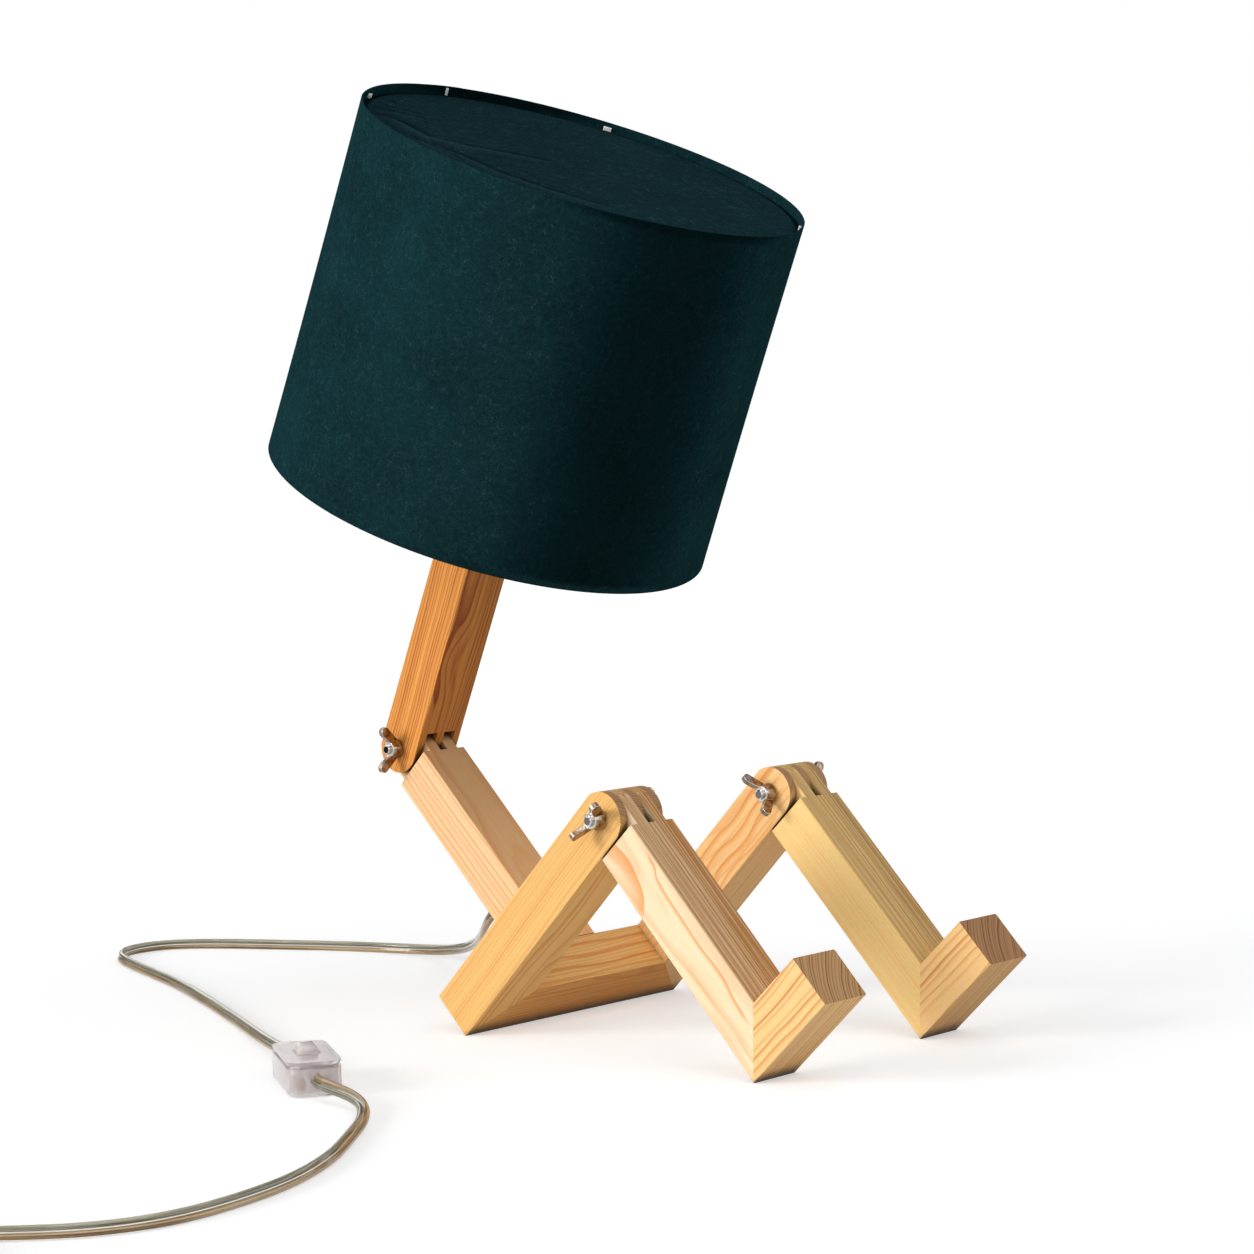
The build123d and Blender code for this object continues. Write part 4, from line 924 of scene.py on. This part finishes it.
def fold_lift(x, y, places, width, height):
    """A ridge along a line of places, with a hollow beside it, and none past its ends."""
    nearest, beside_it, share = 1e9, 1.0, 0.0
    for index, (start, end) in enumerate(zip(places, places[1:])):
        run = (end[0] - start[0], end[1] - start[1])
        along = ((x - start[0]) * run[0] + (y - start[1]) * run[1]) / (run[0] ** 2 + run[1] ** 2)
        along = min(1.0, max(0.0, along))
        away = (x - start[0] - along * run[0], y - start[1] - along * run[1])
        distance = sqrt(away[0] ** 2 + away[1] ** 2)
        if distance < nearest:
            nearest, share = distance, (index + along) / (len(places) - 1)
            beside_it = 1.0 if run[0] * away[1] - run[1] * away[0] > 0 else -1.0
    strength = height * sin(pi * share) ** 0.6
    side = nearest * beside_it
    return strength * (hump(side, 0, width) - 0.7 * hump(side, 1.9 * width, width))


def fold_height(x, y):
    return sum(fold_lift(x, y, *fold) for fold in FOLDS)


def cover_lift(x, y):
    """Soft folds of the cover, in millimetres: x to the right and y back across the shade."""
    radius = sqrt(x * x + y * y)
    edge = radius / COVER_RADIUS
    lift = -1.0 * (1 - edge * edge)
    lift += fold_height(x, y)
    lift += 0.5 * noise.noise(Vector((x, y, 3.0)) * 0.028)
    lift += 0.16 * noise.noise(Vector((x, y, 9.0)) * 0.09)
    return lift * (1 - smooth_step(radius, COVER_RADIUS - 7, COVER_RADIUS - 1.5))


def make_cover():
    rings, around = 76, 216
    vertices, faces, heights = [], [], []
    for side in (0.0, -COVER):
        vertices.append(shade_point(0, 0, COVER_TOP + side + cover_lift(0, 0)))
        heights.append(0.0)
        for ring in range(1, rings + 1):
            radius = COVER_RADIUS * ring / rings
            drop = 0.35 * smooth_step(radius, COVER_RADIUS - 1.5, COVER_RADIUS) * (-1 if side == 0 else 1)
            for k in range(around):
                angle = 360 * k / around
                x, y = radius * cos(radians(angle)), radius * sin(radians(angle))
                vertices.append(shade_point(radius, angle, COVER_TOP + side + drop + cover_lift(x, y)))
                heights.append(fold_height(x, y))
    layer = 1 + rings * around

    def at(side, ring, k):
        return side * layer + (0 if ring == 0 else 1 + (ring - 1) * around + k % around)

    for k in range(around):
        faces.append((at(0, 0, 0), at(0, 1, k), at(0, 1, k + 1)))
        faces.append((at(1, 0, 0), at(1, 1, k + 1), at(1, 1, k)))
        for ring in range(1, rings):
            faces.append((at(0, ring, k), at(0, ring + 1, k), at(0, ring + 1, k + 1), at(0, ring, k + 1)))
            faces.append((at(1, ring, k), at(1, ring, k + 1), at(1, ring + 1, k + 1), at(1, ring + 1, k)))
        faces.append((at(0, rings, k), at(1, rings, k), at(1, rings, k + 1), at(0, rings, k + 1)))
    piece = mesh_object("shade_top_cloth", vertices, faces)
    piece.data.attributes.new("fold", "FLOAT", "POINT").data.foreach_set("value", heights)
    piece.data.materials.append(teal_top)
    return piece


CLIP, CLIP_ON_EDGE = (1.6, 4.8, 2.4), (1.6, 1.2, 4.2)       # inward, sideways and upward
CLIPS = ((-155, CLIP), (-108, CLIP), (-50, CLIP), (38.5, CLIP), (86.5, CLIP_ON_EDGE), (125, CLIP), (167, CLIP))


def make_clips():
    """White clips that hold the cover's hoop to the wall. One stands on edge."""
    pieces = []
    for turn, size in CLIPS:
        block, faces = rounded_block(size, 0.35)
        outer = WALL_RADIUS_TO - WALL - 0.02
        a = radians(turn)
        across, sideways = X_AXIS * cos(a) + neck_up * sin(a), neck_up * cos(a) - X_AXIS * sin(a)
        middle = NECK_PIVOT + neck_along * (COVER_TOP + 0.02 + size[2] / 2) + across * (outer - size[0] / 2)
        pieces.append(([(middle + across * v.x + sideways * v.y + neck_along * v.z) * MM for v in block], faces, 0))
    piece = join_meshes("cover_clips", pieces)
    piece.data.materials.append(clip_white)
    return piece


cover_clips = make_clips()
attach(cover_clips, "shade")
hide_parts("shade_clips")
shade_wall = make_wall()
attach(shade_wall, "shade")
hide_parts("shade_fabric")
shade_top = make_cover()
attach(shade_top, "shade")
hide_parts("shade_cover")


# ---- Floor, world and lights ----
FLOOR_REACH = 9.0
FLOOR_TONE = 0.7    # how much of the light the floor sends back to the object
FLOOR_GLOW = 0.45   # what the eye sees of the white floor besides its lit colour
FILL = 0.42
WHITE = (1.0, 1.0, 1.0)


def make_floor():
    s = Shading("pale_floor")
    diffuse = s.node("ShaderNodeBsdfDiffuse", {"Color": (FLOOR_TONE,) * 3})
    seen, _ = s.rays()
    glow = s.node("ShaderNodeEmission", {"Color": WHITE, "Strength": s.times(seen, FLOOR_GLOW)})
    both = s.node("ShaderNodeAddShader")
    s.put_all(both, (diffuse.outputs[0], glow.outputs[0]))
    corners = [(x * FLOOR_REACH, y * FLOOR_REACH, 0) for x, y in ((-1, -1), (1, -1), (1, 1), (-1, 1))]
    floor = mesh_object("floor", corners, [(0, 1, 2, 3)], smooth=False)
    floor.data.materials.append(s.finish(both))


def make_world():
    s = Shading("studio", world=True)

    def background(colour, strength):
        return s.node("ShaderNodeBackground", {"Color": colour, "Strength": strength})

    def mixed(share, first, second):
        node = s.node("ShaderNodeMixShader")
        s.put_all(node, (share, first.outputs[0], second.outputs[0]))
        return node

    seen, mirrored = s.rays()
    # Mirrors see white and black cards round the table.
    patches = s.noise(s.coordinates.outputs["Generated"], 2.1, 1.0)
    cards = background(WHITE, s.between(patches, 0.44, 0.56, 0.10, 1.9))
    studio = mixed(mirrored, background(WHITE, 1.0), cards)
    bpy.context.scene.world = s.finish(mixed(seen, background((0.97, 0.98, 1.0), FILL), studio))


def sun(name, direction, strength, softness):
    """Parallel light from a direction, softened over an angle in degrees."""
    data = bpy.data.lights.new(name, "SUN")
    data.energy = strength * pi
    data.angle = radians(softness)
    lamp = add_object(name, data)
    lamp.rotation_euler = (-Vector(direction)).to_track_quat("-Z", "Y").to_euler()


make_floor()
make_world()
sun("key", (-0.84, 0.44, 0.32), 0.60, 26)
sun("side", (-0.93, -0.28, 0.24), 0.14, 44)
sun("top", (-0.08, -0.5, 0.86), 0.24, 70)
